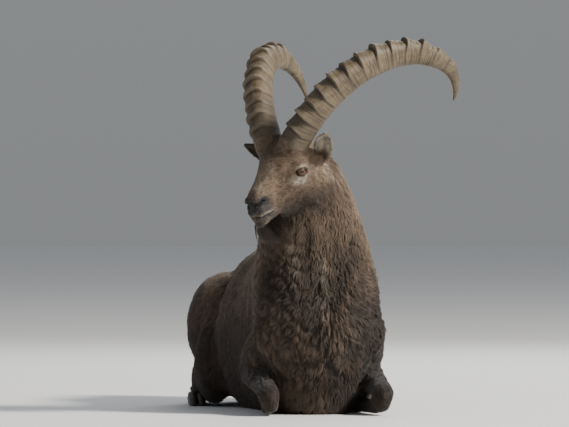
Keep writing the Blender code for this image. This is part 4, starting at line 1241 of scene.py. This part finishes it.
fold = root_normal * (half * FOLD)[:, None]
tilt = np.clip(TILT * slope, -STEEPEST, STEEPEST)[:, None]
across_tuft = (sideways + root_normal * tilt) * half[:, None]
sunk = root_normal * ROOT_SINK
blades = np.stack((
    roots - across_tuft * 0.8 - sunk, roots + fold * 0.7, roots + across_tuft * 0.8 - sunk,
    middle - across_tuft, middle + fold, middle + across_tuft, tip), axis=1)
blades[:, :, 2] = np.maximum(blades[:, :, 2], LEAST_HEIGHT)

tone_share = TONE_SHARE + RIDGE_TONE_SHARE * root_zone
tuft_tone = tone_share * at_roots(tone_field) + (OWN_SHARE - tone_share) * draw.random(total)
tuft_tone = tuft_tone + CLUMP_SHARE * np.mod(clump_size[clump] * 7.13, 1.0)
tuft_marks = at_roots(marks)
tuft_black = at_roots(black)
print("tone of the tufts, mean", round(float(tuft_tone.mean()), 2))

# %% Tuft meshes
PIECES = 8


def tuft_mesh(name, chosen):
    """One mesh holding the chosen tufts."""
    count = len(chosen)
    order = np.arange(count)[:, None]
    corners = order * len(BLADE_ALONG) + BLADE_CORNERS
    starts = order * len(BLADE_CORNERS) + BLADE_STARTS
    data = bpy.data.meshes.new(name)
    data.vertices.add(count * len(BLADE_ALONG))
    data.vertices.foreach_set("co", blades[chosen].astype(np.float32).ravel())
    data.loops.add(corners.size)
    data.loops.foreach_set("vertex_index", corners.astype(np.int32).ravel())
    data.polygons.add(starts.size)
    data.polygons.foreach_set("loop_start", starts.astype(np.int32).ravel())
    data.polygons.foreach_set("loop_total", np.tile(BLADE_SIZES, count).astype(np.int32))
    data.update(calc_edges=True)
    places = root_uv[chosen][:, None, :] + BLADE_UV[None, BLADE_CORNERS, :]
    data.uv_layers.new(name="OFBake").data.foreach_set("uv", places.astype(np.float32).ravel())
    spread_over(data, "along", np.tile(BLADE_ALONG, count))
    for label, values in (("marks", tuft_marks), ("tuft", tuft_tone), ("bareness", tuft_black)):
        spread_over(data, label, np.repeat(values[chosen], len(BLADE_ALONG), axis=0))
    data.shade_smooth()
    return link(bpy.data.objects.new(name, data))


front_to_back = np.argsort(roots[:, 1], kind="stable")
coat = [tuft_mesh(f"coat_{i + 1}", chosen)
        for i, chosen in enumerate(np.array_split(front_to_back, PIECES))]
print(len(coat), "coat pieces of about", total // PIECES, "tufts")

# %% [markdown]
# ## Horns
# A billy's horns grow one section a year. The front carries thick knobs, steep toward the skull and
# running out toward the tip, and everywhere there are fine rings. The horn is one long loft whose front
# is pushed out at each knob.

# %% Horn lofts
HORN_DEPTH = 0.078
HORN_WIDTH = 0.066
KNOBS_AT = (0.045, 0.105, 0.165, 0.225, 0.29, 0.355, 0.42, 0.49, 0.555, 0.62, 0.69, 0.765, 0.84)
KNOB_HEIGHT = 0.0095
YEARS = (0.13, 0.27, 0.40, 0.52, 0.63, 0.73, 0.82)
HORN_RINGS = 430
HORN_SIDES = 44
HORN_FOOT_RINGS = 10
HORN_FOOT_STEP = 0.0018
KNOB_RISE = 0.0045
KNOB_FALL = 0.025
GROOVE_WIDTH = 0.0030
HORN_TAPER = (
    # (how far along, half depth and half width as shares of HORN_DEPTH and HORN_WIDTH)
    (0.0, 0.50, 0.50), (0.30, 0.49, 0.49), (0.50, 0.475, 0.44), (0.62, 0.42, 0.37),
    (0.74, 0.345, 0.29), (0.84, 0.245, 0.20), (0.93, 0.135, 0.115), (1.0, 0.028, 0.028),
)


def horn_frames(side, count):
    """The middle, the way along and the way to the inner side of the bend, at evenly spread places."""
    base, along = horn_start(1)
    inward = Vector((0, 1, 0)) - along * along.y
    inward = (Matrix.Rotation(HORN_PLANE_TURN, 3, along) @ inward).normalized()
    step = HORN_LENGTH / (count - 1)
    middle = base.copy()
    frames = []
    for i in range(count):
        frames.append((mirrored(middle, side), mirrored(along, side), mirrored(inward, side)))
        s = (i + 0.5) / (count - 1)
        hook = HORN_HOOK * min(max((s - 0.80) / 0.08, 0), 1) if side > 0 else 0.0
        angle = (HORN_BEND_START + HORN_BEND_GAIN * s ** HORN_BEND_POWER + hook) * step
        along, inward = (along * math.cos(angle) + inward * math.sin(angle),
                         inward * math.cos(angle) - along * math.sin(angle))
        inward = Matrix.Rotation(HORN_TWIST * step, 3, along) @ inward
        middle = middle + along * step
    return frames


def horn_size(t):
    stations, deep, wide = zip(*HORN_TAPER)
    return HORN_DEPTH * float(np.interp(t, stations, deep)), HORN_WIDTH * float(np.interp(t, stations, wide))


def knob_lift(t, sway=0.0):
    """How far the front stands out at t, and how deep in the groove under a knob it is (0 to 1)."""
    lift, groove = 0.0, 0.0
    for i, at in enumerate(KNOBS_AT):
        reach = KNOB_HEIGHT * (0.80 + 0.22 * math.sin(2.1 * i)) * (1 if at < 0.72 else 0.6)
        ahead = (t - at) * HORN_LENGTH + sway
        if -KNOB_RISE < ahead <= 0:
            lift = max(lift, reach * float(blend_step(0, 1, 1 + ahead / KNOB_RISE)))
        elif 0 < ahead < KNOB_FALL:
            lift = max(lift, reach * (1 - ahead / KNOB_FALL) ** 1.5)
        groove = max(groove, math.exp(-((ahead + 2 * GROOVE_WIDTH) / GROOVE_WIDTH) ** 2))
    return lift, groove


def growth_rings(t):
    """The fine rings of a horn: waves whose spacing and height keep changing."""
    slow = 0.6 + 0.4 * math.sin(37 * t)
    return (0.00034 * slow * math.sin(2 * math.pi * (t * 64 + 0.8 * math.sin(9 * t)))
            + 0.00018 * math.sin(2 * math.pi * (t * 151 + 0.6 * math.sin(23 * t))))


def horn(name, side):
    frames = horn_frames(side, HORN_RINGS + 1)
    rings, rows, grooves = [], [], []
    for i in range(-HORN_FOOT_RINGS, HORN_RINGS + 1):
        t = max(i, 0) / HORN_RINGS
        middle, along, inward = frames[max(i, 0)]
        if i < 0:
            middle = middle + along * (HORN_FOOT_STEP * i)
        across = along.cross(inward)
        deep, wide = horn_size(t)
        year = sum(math.exp(-((t - at) * HORN_LENGTH / 0.0016) ** 2) for at in YEARS)
        ring = []
        for j in range(HORN_SIDES):
            a = 2 * math.pi * j / HORN_SIDES
            front = -math.cos(a)
            sway = 0.006 * math.sin(a) ** 2 + 0.0012 * math.sin(3 * a + 40 * t)
            lift, groove = knob_lift(t, sway)
            round_front = 0.5 + 0.5 * front
            # The groove number under each knob and at each year line sinks the surface and darkens it in the
            # material: painted shade.
            groove = max(groove * round_front ** 0.6, 0.7 * min(year, 1))
            bump = lift * max(0.0, front) ** 0.6
            ridge = 0.20 * lift * round_front
            rough = growth_rings(t + 0.0015 * math.sin(2 * a)) * (0.4 + 0.6 * round_front) - 0.0013 * groove
            rough += 0.0008 * math.sin(5 * a + 26 * t) * math.sin(61 * t + 2 * a) * round_front
            scale = 1 + (rough + ridge) / deep
            ring.append(middle + inward * (-deep * round_power(front, 2.5) * scale - bump)
                        + across * wide * round_power(math.sin(a), 2.3) * (1 + 0.10 * front) * scale)
            rows.append((t, round_front, min(lift / KNOB_HEIGHT, 1)))
            grooves.append(groove)
        rings.append([head_place @ p for p in ring])
    obj = loft(name, rings)
    caps = len(obj.data.vertices) - len(rows)
    spread_over(obj.data, "horn_marks", np.array(rows + rows[-1:] * caps))
    spread_over(obj.data, "groove", np.array(grooves + grooves[-1:] * caps))
    return finished(obj, 70)


horns = [horn(f"horn_skin_{name}", side) for name, side in SIDES]
print("horns", [len(h.data.polygons) for h in horns])

# %% [markdown]
# ## Eyes
# A goat's eye is a ball with an amber iris and a pupil that lies across it like a slot. Iris and pupil could
# be discs of their own, but they would show an edge. Here each point of the ball stores its place, and the
# material draws them from it.

# %% Eyeballs
BULGE_FROM = 0.80
BULGE = 0.0022


def eyeball(name, side):
    centre = mirrored(EYE_CENTRE, side)
    axes = eye_axes(side)
    obj = ellipsoid(f"eyeball_{name}", (0, 0, 0), (EYE_RADIUS,) * 3, segments=96, rings=64)
    local_points = points_of(obj.data)
    spread_over(obj.data, "eye_marks", local_points / EYE_RADIUS)
    bulge = np.clip(local_points[:, 2] / EYE_RADIUS - BULGE_FROM, 0, 1) * BULGE
    local_points = local_points * (1 + bulge / EYE_RADIUS)[:, None]
    matrix = np.array(head_place @ Matrix.Translation(centre) @ axes.to_4x4())
    set_points(obj.data, local_points @ matrix[:3, :3].T + matrix[:3, 3])
    return finished(outward(obj))


eyes = [eyeball(name, side) for name, side in SIDES]
print("eyeballs", [len(eye.data.polygons) for eye in eyes], "faces")

# %% Lids
RIM_POINTS = 64
UNDER_LID_THICK, OVER_LID_THICK = 0.0013, 0.0002


def lid_rim(name, side):
    """The dark naked edge of the lids, a thin tube round the opening."""
    centre = mirrored(EYE_CENTRE, side)
    axes = eye_axes(side)
    wide, tall = EYE_OPENING
    rows = []
    for i in range(RIM_POINTS + 1):
        a = 2 * math.pi * i / RIM_POINTS
        x = min(wide + 0.0002, EYE_RADIUS - 0.0008) * math.cos(a)
        y = (tall - 0.0002) * math.sin(a)
        z = math.sqrt(max((EYE_RADIUS + 0.0006) ** 2 - x * x - y * y, 1e-6))
        thick = 0.0012 + (UNDER_LID_THICK if y < 0 else OVER_LID_THICK) * abs(math.sin(a))
        rows.append((*(head_place @ (centre + axes @ Vector((x, y, z)))), thick, thick))
    return finished(limb(f"lid_rim_{name}", rows, sides=10, steps=1))


rims = [lid_rim(name, side) for name, side in SIDES]
print("lid rims", [len(rim.data.polygons) for rim in rims], "faces")

# %% [markdown]
# ## Hooves
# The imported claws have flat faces. A fine voxel remesh of a copy rounds their edges as wear does, and two
# small dewclaws stand behind each foot.

# %% Claws and dewclaws
HOOVES = sorted(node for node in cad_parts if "hoof" in node)
CLAW_VOXEL = 0.0017
CLAW_LEAST_HEIGHT = 0.0004
SPUR_SIZE = (0.0072, 0.0120, 0.0080)
SPURS = (
    # (how far out each of a foot's pair stands, how far back, height, shift of the left foot)
    ((0.110, 0.132), -0.073, 0.042, -0.006),
    ((0.222, 0.246), 0.497, 0.0435, 0.008),
)


def fine_claw(node):
    obj = remeshed(swollen_copy(node), CLAW_VOXEL, 7)
    obj.name = f"fine_{node}"
    places = points_of(obj.data)
    places[:, 2] = np.maximum(places[:, 2], CLAW_LEAST_HEIGHT)
    set_points(obj.data, places)
    return finished(obj)


def spurs(side):
    """The dewclaws of one side: two small balls behind each foot."""
    return [ellipsoid("spur", (side * out, back + (left_shift if side > 0 else 0.0), height), SPUR_SIZE)
            for pair, back, height, left_shift in SPURS for out in pair]


claws = [(node, fine_claw(node)) for node in HOOVES]
dewclaws = finished(joined("dewclaws", [spur for _, side in SIDES for spur in spurs(side)]))
print(len(claws), "claws", sum(len(claw.data.polygons) for _, claw in claws), "faces")

# %% [markdown]
# ## Beard and tail tuft
# The long hair is built like the coat, but each lock has more steps so that it can bend: a short dark
# beard under the chin and a brush at the end of the tail.

# %% Long locks
BEARD_HAIRS, TAIL_HAIRS = 1500, 420
BEARD_WIDTH, TAIL_WIDTH = 0.0011, 0.0013
BEARD_LENGTH = 0.066
TAIL_LENGTHS = (0.040, 0.066)


def long_locks(name, rows, slimness, steps=6):
    """One mesh of thin bent strips from (root, tip, sag direction) rows."""
    made, faces, along, tone = [], [], [], []
    for root, end, sag in rows:
        base = len(made)
        shade = draw.random()
        line = end - root
        flat_way = line.cross(sag)
        flat_way = flat_way.normalized() if flat_way.length > 1e-9 else Vector((1, 0, 0))
        for i in range(steps):
            t = i / (steps - 1)
            place = root + line * t + sag * (math.sin(math.pi * t) * line.length * 0.12)
            half_width = slimness * (1.0 - 0.9 * t ** 1.6)
            lifted = flat_way.cross(line).normalized() * half_width * 0.6
            made += [place - flat_way * half_width, place + lifted, place + flat_way * half_width]
            along += [t] * 3
            tone += [shade] * 3
            if i:
                k = base + 3 * i
                faces += [(k - 3, k - 2, k + 1, k), (k - 2, k - 1, k + 2, k + 1)]
    obj = mesh_object(name, made, faces)
    spread_over(obj.data, "marks", np.tile(np.array([1.0, 0.0, 0.0]), (len(made), 1)))
    spread_over(obj.data, "along", np.array(along))
    spread_over(obj.data, "tuft", np.array(tone))
    spread_over(obj.data, "bareness", np.zeros(len(made)))
    return finished(obj)


print("locks of", BEARD_HAIRS, "and", TAIL_HAIRS, "hairs")

# %% Beard and tail brush
beard_rows = []
for _ in range(BEARD_HAIRS):
    s = draw.random()
    x = float(np.clip(draw.normal(0, 0.0110), -0.021, 0.021))
    root = Vector((x, -0.136 + 0.062 * s, -0.096 + 0.010 * s - 0.25 * abs(x)))
    reach = BEARD_LENGTH * (0.60 + 0.50 * math.sin(math.pi * min(s + 0.15, 1))) * draw.uniform(0.60, 1.12)
    spread = (draw.normal(0, 0.006), draw.normal(0, 0.005))
    end = root + Vector((x * 0.5 + spread[0], 0.22 * reach + spread[1], -0.95 * reach))
    beard_rows.append((head_place @ root, head_place @ end, to_body @ Vector((0, -1, 0))))
beard = long_locks("beard_hair", beard_rows, BEARD_WIDTH)
tail_rows = []
for _ in range(TAIL_HAIRS):
    a = draw.uniform(0, 2 * math.pi)
    s = draw.random()
    root = Vector((0.008 + 0.012 * math.cos(a), 0.848 + 0.007 * math.sin(a), 0.276 + 0.050 * s))
    reach = draw.uniform(*TAIL_LENGTHS)
    end = root + Vector((0.008 * math.cos(a), 0.004 + 0.006 * math.sin(a), -reach))
    tail_rows.append((root, end, Vector((0, 1, 0))))
tail_tuft = long_locks("tail_hair", tail_rows, TAIL_WIDTH)
print("beard and tail", len(beard.data.polygons) + len(tail_tuft.data.polygons), "faces")

# %% [markdown]
# ## Materials
# The groups turn the stored numbers into colours. A tuft is dark at the root and lighter at the tip, and
# no two tufts are quite the same. Horn is banded, and its grooves are darkened with painted shade. The eye
# has a clear wet coat over it.
# Node trees could be built by hand in the editor. Small helpers that add one node each keep a tree
# readable as a few lines of text.

# %% Shader helpers
COLOUR, NUMBER = "NodeSocketColor", "NodeSocketFloat"


def new_group(name, ins, outs):
    """An empty node group with named sockets of the given kinds."""
    group = bpy.data.node_groups.new(name, "ShaderNodeTree")
    for way, sockets in (("INPUT", ins), ("OUTPUT", outs)):
        for label, kind in sockets.items():
            group.interface.new_socket(name=label, in_out=way, socket_type=kind)
    return group, group.nodes.new("NodeGroupInput").outputs, group.nodes.new("NodeGroupOutput").inputs


def plug(tree, value, socket):
    """Feeds a socket from another one, or sets it to a number or a colour."""
    if isinstance(value, bpy.types.NodeSocket):
        tree.links.new(value, socket)
    else:
        socket.default_value = (*value, 1.0) if isinstance(value, tuple) else value


def stored(tree, name):
    """The attribute node that reads numbers stored on the mesh."""
    node = tree.nodes.new("ShaderNodeAttribute")
    node.attribute_name = name
    return node.outputs


def stored_marks(tree, name):
    """The three marks that share one stored colour."""
    node = tree.nodes.new("ShaderNodeSeparateColor")
    tree.links.new(stored(tree, name)["Color"], node.inputs[0])
    return node.outputs[0], node.outputs[1], node.outputs[2]


def mixed(tree, share, first, second):
    """A colour mix. First and second are colours or sockets."""
    node = tree.nodes.new("ShaderNodeMix")
    node.data_type = "RGBA"
    for value, socket in ((share, node.inputs[0]), (first, node.inputs[6]), (second, node.inputs[7])):
        plug(tree, value, socket)
    return node.outputs[2]


def scaled(tree, value, low, high, to_low=0.0, to_high=1.0):
    """The value's range from low to high, spread over another range."""
    node = tree.nodes.new("ShaderNodeMapRange")
    tree.links.new(value, node.inputs["Value"])
    for label, number in (("From Min", low), ("From Max", high), ("To Min", to_low), ("To Max", to_high)):
        plug(tree, number, node.inputs[label])
    return node.outputs["Result"]


def maths(tree, operation, *values):
    node = tree.nodes.new("ShaderNodeMath")
    node.operation = operation
    for value, socket in zip(values, node.inputs):
        plug(tree, value, socket)
    return node.outputs[0]


def noise(tree, scale, detail=3.0, roughness=0.55, place=None):
    """Noise over the object's own space, or over another place."""
    place = place or tree.nodes.new("ShaderNodeTexCoord").outputs["Object"]
    node = tree.nodes.new("ShaderNodeTexNoise")
    tree.links.new(place, node.inputs["Vector"])
    for label, number in (("Scale", scale), ("Detail", detail), ("Roughness", roughness)):
        plug(tree, number, node.inputs[label])
    return node.outputs["Fac"]


def bumped(strength, distance):
    """A finish that turns the group's height into fine relief."""
    def add(tree, surface, group):
        node = tree.nodes.new("ShaderNodeBump")
        node.inputs["Strength"].default_value = strength
        node.inputs["Distance"].default_value = distance
        tree.links.new(group.outputs["Height"], node.inputs["Height"])
        tree.links.new(node.outputs[0], surface.inputs["Normal"])
    return add


def material(name, roughness, group, finish=None, **values):
    """A material that takes its colour from a group, placed with its own values."""
    made = bpy.data.materials.new(name)
    made.use_nodes = True
    tree = made.node_tree
    surface = tree.nodes["Principled BSDF"]
    surface.inputs["Roughness"].default_value = roughness
    placed = tree.nodes.new("ShaderNodeGroup")
    placed.node_tree = group
    for label, value in values.items():
        plug(tree, value, placed.inputs[label])
    tree.links.new(placed.outputs["Colour"], surface.inputs["Base Color"])
    if finish:
        finish(tree, surface, placed)
    return made


print("shader helpers ready")

# %% Fur
FUR_BROWNS = (0.105, 0.070, 0.045), (0.165, 0.117, 0.080)
FUR_DARK = (0.030, 0.020, 0.0145)
FUR_GREY = (0.050, 0.044, 0.041)
FUR_PALE = (0.400, 0.350, 0.280)
BARE_SKIN = (0.0075, 0.0065, 0.0062)
ROOT_TO_TIP = (0.55, 1.28)
DARK_TO_LIGHT = (0.30, 1.75)


def furry(tree, surface, group):
    bumped(0.5, 0.0008)(tree, surface, group)
    surface.inputs["Specular IOR Level"].default_value = 0.25
    surface.inputs["Sheen Weight"].default_value = 0.15
    surface.inputs["Sheen Roughness"].default_value = 0.5


fur, _, fur_out = new_group("fur_colour", {}, {"Colour": COLOUR, "Height": NUMBER})
dark_mark, pale_mark, grey_mark = stored_marks(fur, "marks")
base = mixed(fur, scaled(fur, noise(fur, 9.0, 2.0), 0.35, 0.65), *FUR_BROWNS)
base = mixed(fur, dark_mark, base, FUR_DARK)
base = mixed(fur, grey_mark, base, FUR_GREY)
base = mixed(fur, pale_mark, base, FUR_PALE)
along_hair = scaled(fur, stored(fur, "along")["Fac"], 0.0, 1.0, *ROOT_TO_TIP)
tuft_tones = scaled(fur, stored(fur, "tuft")["Fac"], 0.0, 1.0, *DARK_TO_LIGHT)
lightness = maths(fur, "MULTIPLY", along_hair, tuft_tones)
shade = fur.nodes.new("ShaderNodeVectorMath")
shade.operation = "SCALE"
fur.links.new(base, shade.inputs[0])
fur.links.new(lightness, shade.inputs["Scale"])
coloured = mixed(fur, stored(fur, "bareness")["Fac"], shade.outputs[0], BARE_SKIN)
fur.links.new(coloured, fur_out["Colour"])
fur.links.new(noise(fur, 700.0, 2.0), fur_out["Height"])
coat_fur = material("coat_fur", 0.72, fur, furry)
skin_fur = material("skin_under_fur", 0.80, fur, furry)
print("fur on two materials")

# %% Horn
HORN_BROWNS = (0.062, 0.044, 0.024), (0.162, 0.122, 0.069)
HORN_BAND = (0.040, 0.028, 0.016)
HORN_FIBRE = (0.205, 0.165, 0.100)
HORN_KNOB = (0.200, 0.155, 0.100)
# HORN_GROOVE is painted shade in the grooves under the knobs and in the year lines.
HORN_GROOVE = (0.022, 0.015, 0.010)
HORN_FOOT = (0.052, 0.038, 0.023)
HORN_POINT = (0.060, 0.045, 0.030)


def mark_noise(tree, name, stretch, detail=4.0):
    """Noise drawn along the object's own stored numbers, stretched by a different amount for each."""
    wide = tree.nodes.new("ShaderNodeVectorMath")
    wide.operation = "MULTIPLY"
    wide.inputs[1].default_value = stretch
    tree.links.new(stored(tree, name)["Vector"], wide.inputs[0])
    return noise(tree, 1.0, detail, 0.5, wide.outputs[0])


horn_group, _, horn_out = new_group("horn_colour", {}, {"Colour": COLOUR, "Height": NUMBER})
along_horn, _, knob_mark = stored_marks(horn_group, "horn_marks")
cloud = noise(horn_group, 26.0, 5.0, 0.65)
bands = mark_noise(horn_group, "horn_marks", (130.0, 2.5, 0.0))
fibres = mark_noise(horn_group, "horn_marks", (9.0, 34.0, 0.0))
groove_mark = stored(horn_group, "groove")["Fac"]
colour = mixed(horn_group, scaled(horn_group, cloud, 0.32, 0.68), *HORN_BROWNS)
for mask, low, high, most, tone in (
    (bands, 0.56, 0.34, 0.80, HORN_BAND),
    (fibres, 0.50, 0.72, 0.40, HORN_FIBRE),
    (knob_mark, 0.35, 1.0, 0.30, HORN_KNOB),
    # Painted shade in the grooves.
    (groove_mark, 0.15, 0.9, 0.85, HORN_GROOVE),
    (along_horn, 0.24, 0.02, 0.70, HORN_FOOT),
    (along_horn, 0.85, 1.0, 0.55, HORN_POINT),
):
    colour = mixed(horn_group, scaled(horn_group, mask, low, high, 0.0, most), colour, tone)
horn_group.links.new(colour, horn_out["Colour"])
relief = maths(horn_group, "ADD", bands, maths(horn_group, "MULTIPLY", fibres, 0.5))
horn_group.links.new(relief, horn_out["Height"])
horn_surface = material("horn_sheath", 0.58, horn_group, bumped(0.9, 0.0016))
print("horn with bands, fibres and grooves")

# %% [markdown]
# ## Claws and lids
# Both are dark and softly mottled. One group makes the mottle from two colours, the size of its spots and
# how hard they are, and each material places it with its own values.

# %% Mottled claws and lids
mottle, mottle_in, mottle_out = new_group(
    "mottle",
    {"Dark": COLOUR, "Light": COLOUR, "Spots": NUMBER, "Low": NUMBER, "High": NUMBER, "Grain": NUMBER},
    {"Colour": COLOUR, "Height": NUMBER},
)
spots = scaled(mottle, noise(mottle, mottle_in["Spots"]), mottle_in["Low"], mottle_in["High"])
mottle.links.new(mixed(mottle, spots, mottle_in["Dark"], mottle_in["Light"]), mottle_out["Colour"])
mottle.links.new(noise(mottle, mottle_in["Grain"]), mottle_out["Height"])
hoof_surface = material("hoof_horn", 0.42, mottle, bumped(0.4, 0.0008), Spots=60.0, Low=0.3, High=0.7,
                        Grain=260.0, Dark=(0.022, 0.018, 0.015), Light=(0.055, 0.044, 0.034))
lid_surface = material("lid_skin", 0.45, mottle, Spots=400.0, Low=0.0, High=1.0, Grain=400.0,
                       Dark=(0.006, 0.005, 0.0045), Light=(0.014, 0.011, 0.009))
print("claws and lids share the group", mottle.name)

# %% Eye
IRIS_AMBERS = (0.125, 0.043, 0.014), (0.052, 0.017, 0.007)
IRIS_FADE, IRIS_EDGE = (0.20, 0.60), (0.60, 0.67)
PUPIL_HALVES = (0.36, 0.17)
PUPIL_SQUARENESS = 4.0
PUPIL_BLACK = (0.003, 0.003, 0.004)
EYE_DARK = (0.006, 0.004, 0.0035)


def wet(tree, surface, group):
    surface.inputs["Specular IOR Level"].default_value = 0.25
    surface.inputs["Coat Weight"].default_value = 0.35
    surface.inputs["Coat Roughness"].default_value = 0.03


eye_group, _, eye_out = new_group("eye_colour", {}, {"Colour": COLOUR})
parted = eye_group.nodes.new("ShaderNodeSeparateXYZ")
eye_group.links.new(stored(eye_group, "eye_marks")["Vector"], parted.inputs[0])
flat_spot = eye_group.nodes.new("ShaderNodeCombineXYZ")
radial = eye_group.nodes.new("ShaderNodeVectorMath")
radial.operation = "LENGTH"
eye_group.links.new(flat_spot.outputs[0], radial.inputs[0])
slot_parts = []
for axis, half_size in enumerate(PUPIL_HALVES):
    eye_group.links.new(parted.outputs[axis], flat_spot.inputs[axis])
    reach = maths(eye_group, "ABSOLUTE", maths(eye_group, "DIVIDE", parted.outputs[axis], half_size))
    slot_parts.append(maths(eye_group, "POWER", reach, PUPIL_SQUARENESS))
from_middle = radial.outputs["Value"]
pupil = scaled(eye_group, maths(eye_group, "ADD", *slot_parts), 0.85, 1.15, 1.0, 0.0)
iris = mixed(eye_group, scaled(eye_group, from_middle, *IRIS_FADE), *IRIS_AMBERS)
iris = mixed(eye_group, pupil, iris, PUPIL_BLACK)
iris = mixed(eye_group, scaled(eye_group, from_middle, *IRIS_EDGE), iris, EYE_DARK)
eye_group.links.new(iris, eye_out["Colour"])
eye_surface = material("eye_wet", 0.25, eye_group, wet)
print("eye with a slot pupil")

# %% [markdown]
# ## Hang everything on the imported frame
# Each piece rides the one body of this still model and takes its material, and the imported nodes that it
# replaces are hidden.

# %% Attach and finish
def dress(obj, surface):
    obj.data.materials.clear()
    obj.data.materials.append(surface)
    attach(obj, "root")


dress(flesh, skin_fur)
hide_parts(*FLESH)
for piece in coat + [beard, tail_tuft]:
    dress(piece, coat_fur)
for rim in rims:
    dress(rim, lid_surface)
for (name, _), horn_piece, eye_piece in zip(SIDES, horns, eyes):
    dress(horn_piece, horn_surface)
    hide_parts(f"horn_{name}")
    dress(eye_piece, eye_surface)
    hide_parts(f"eye_{name}")
for node, claw in claws:
    dress(claw, hoof_surface)
    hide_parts(node)
dress(dewclaws, hoof_surface)
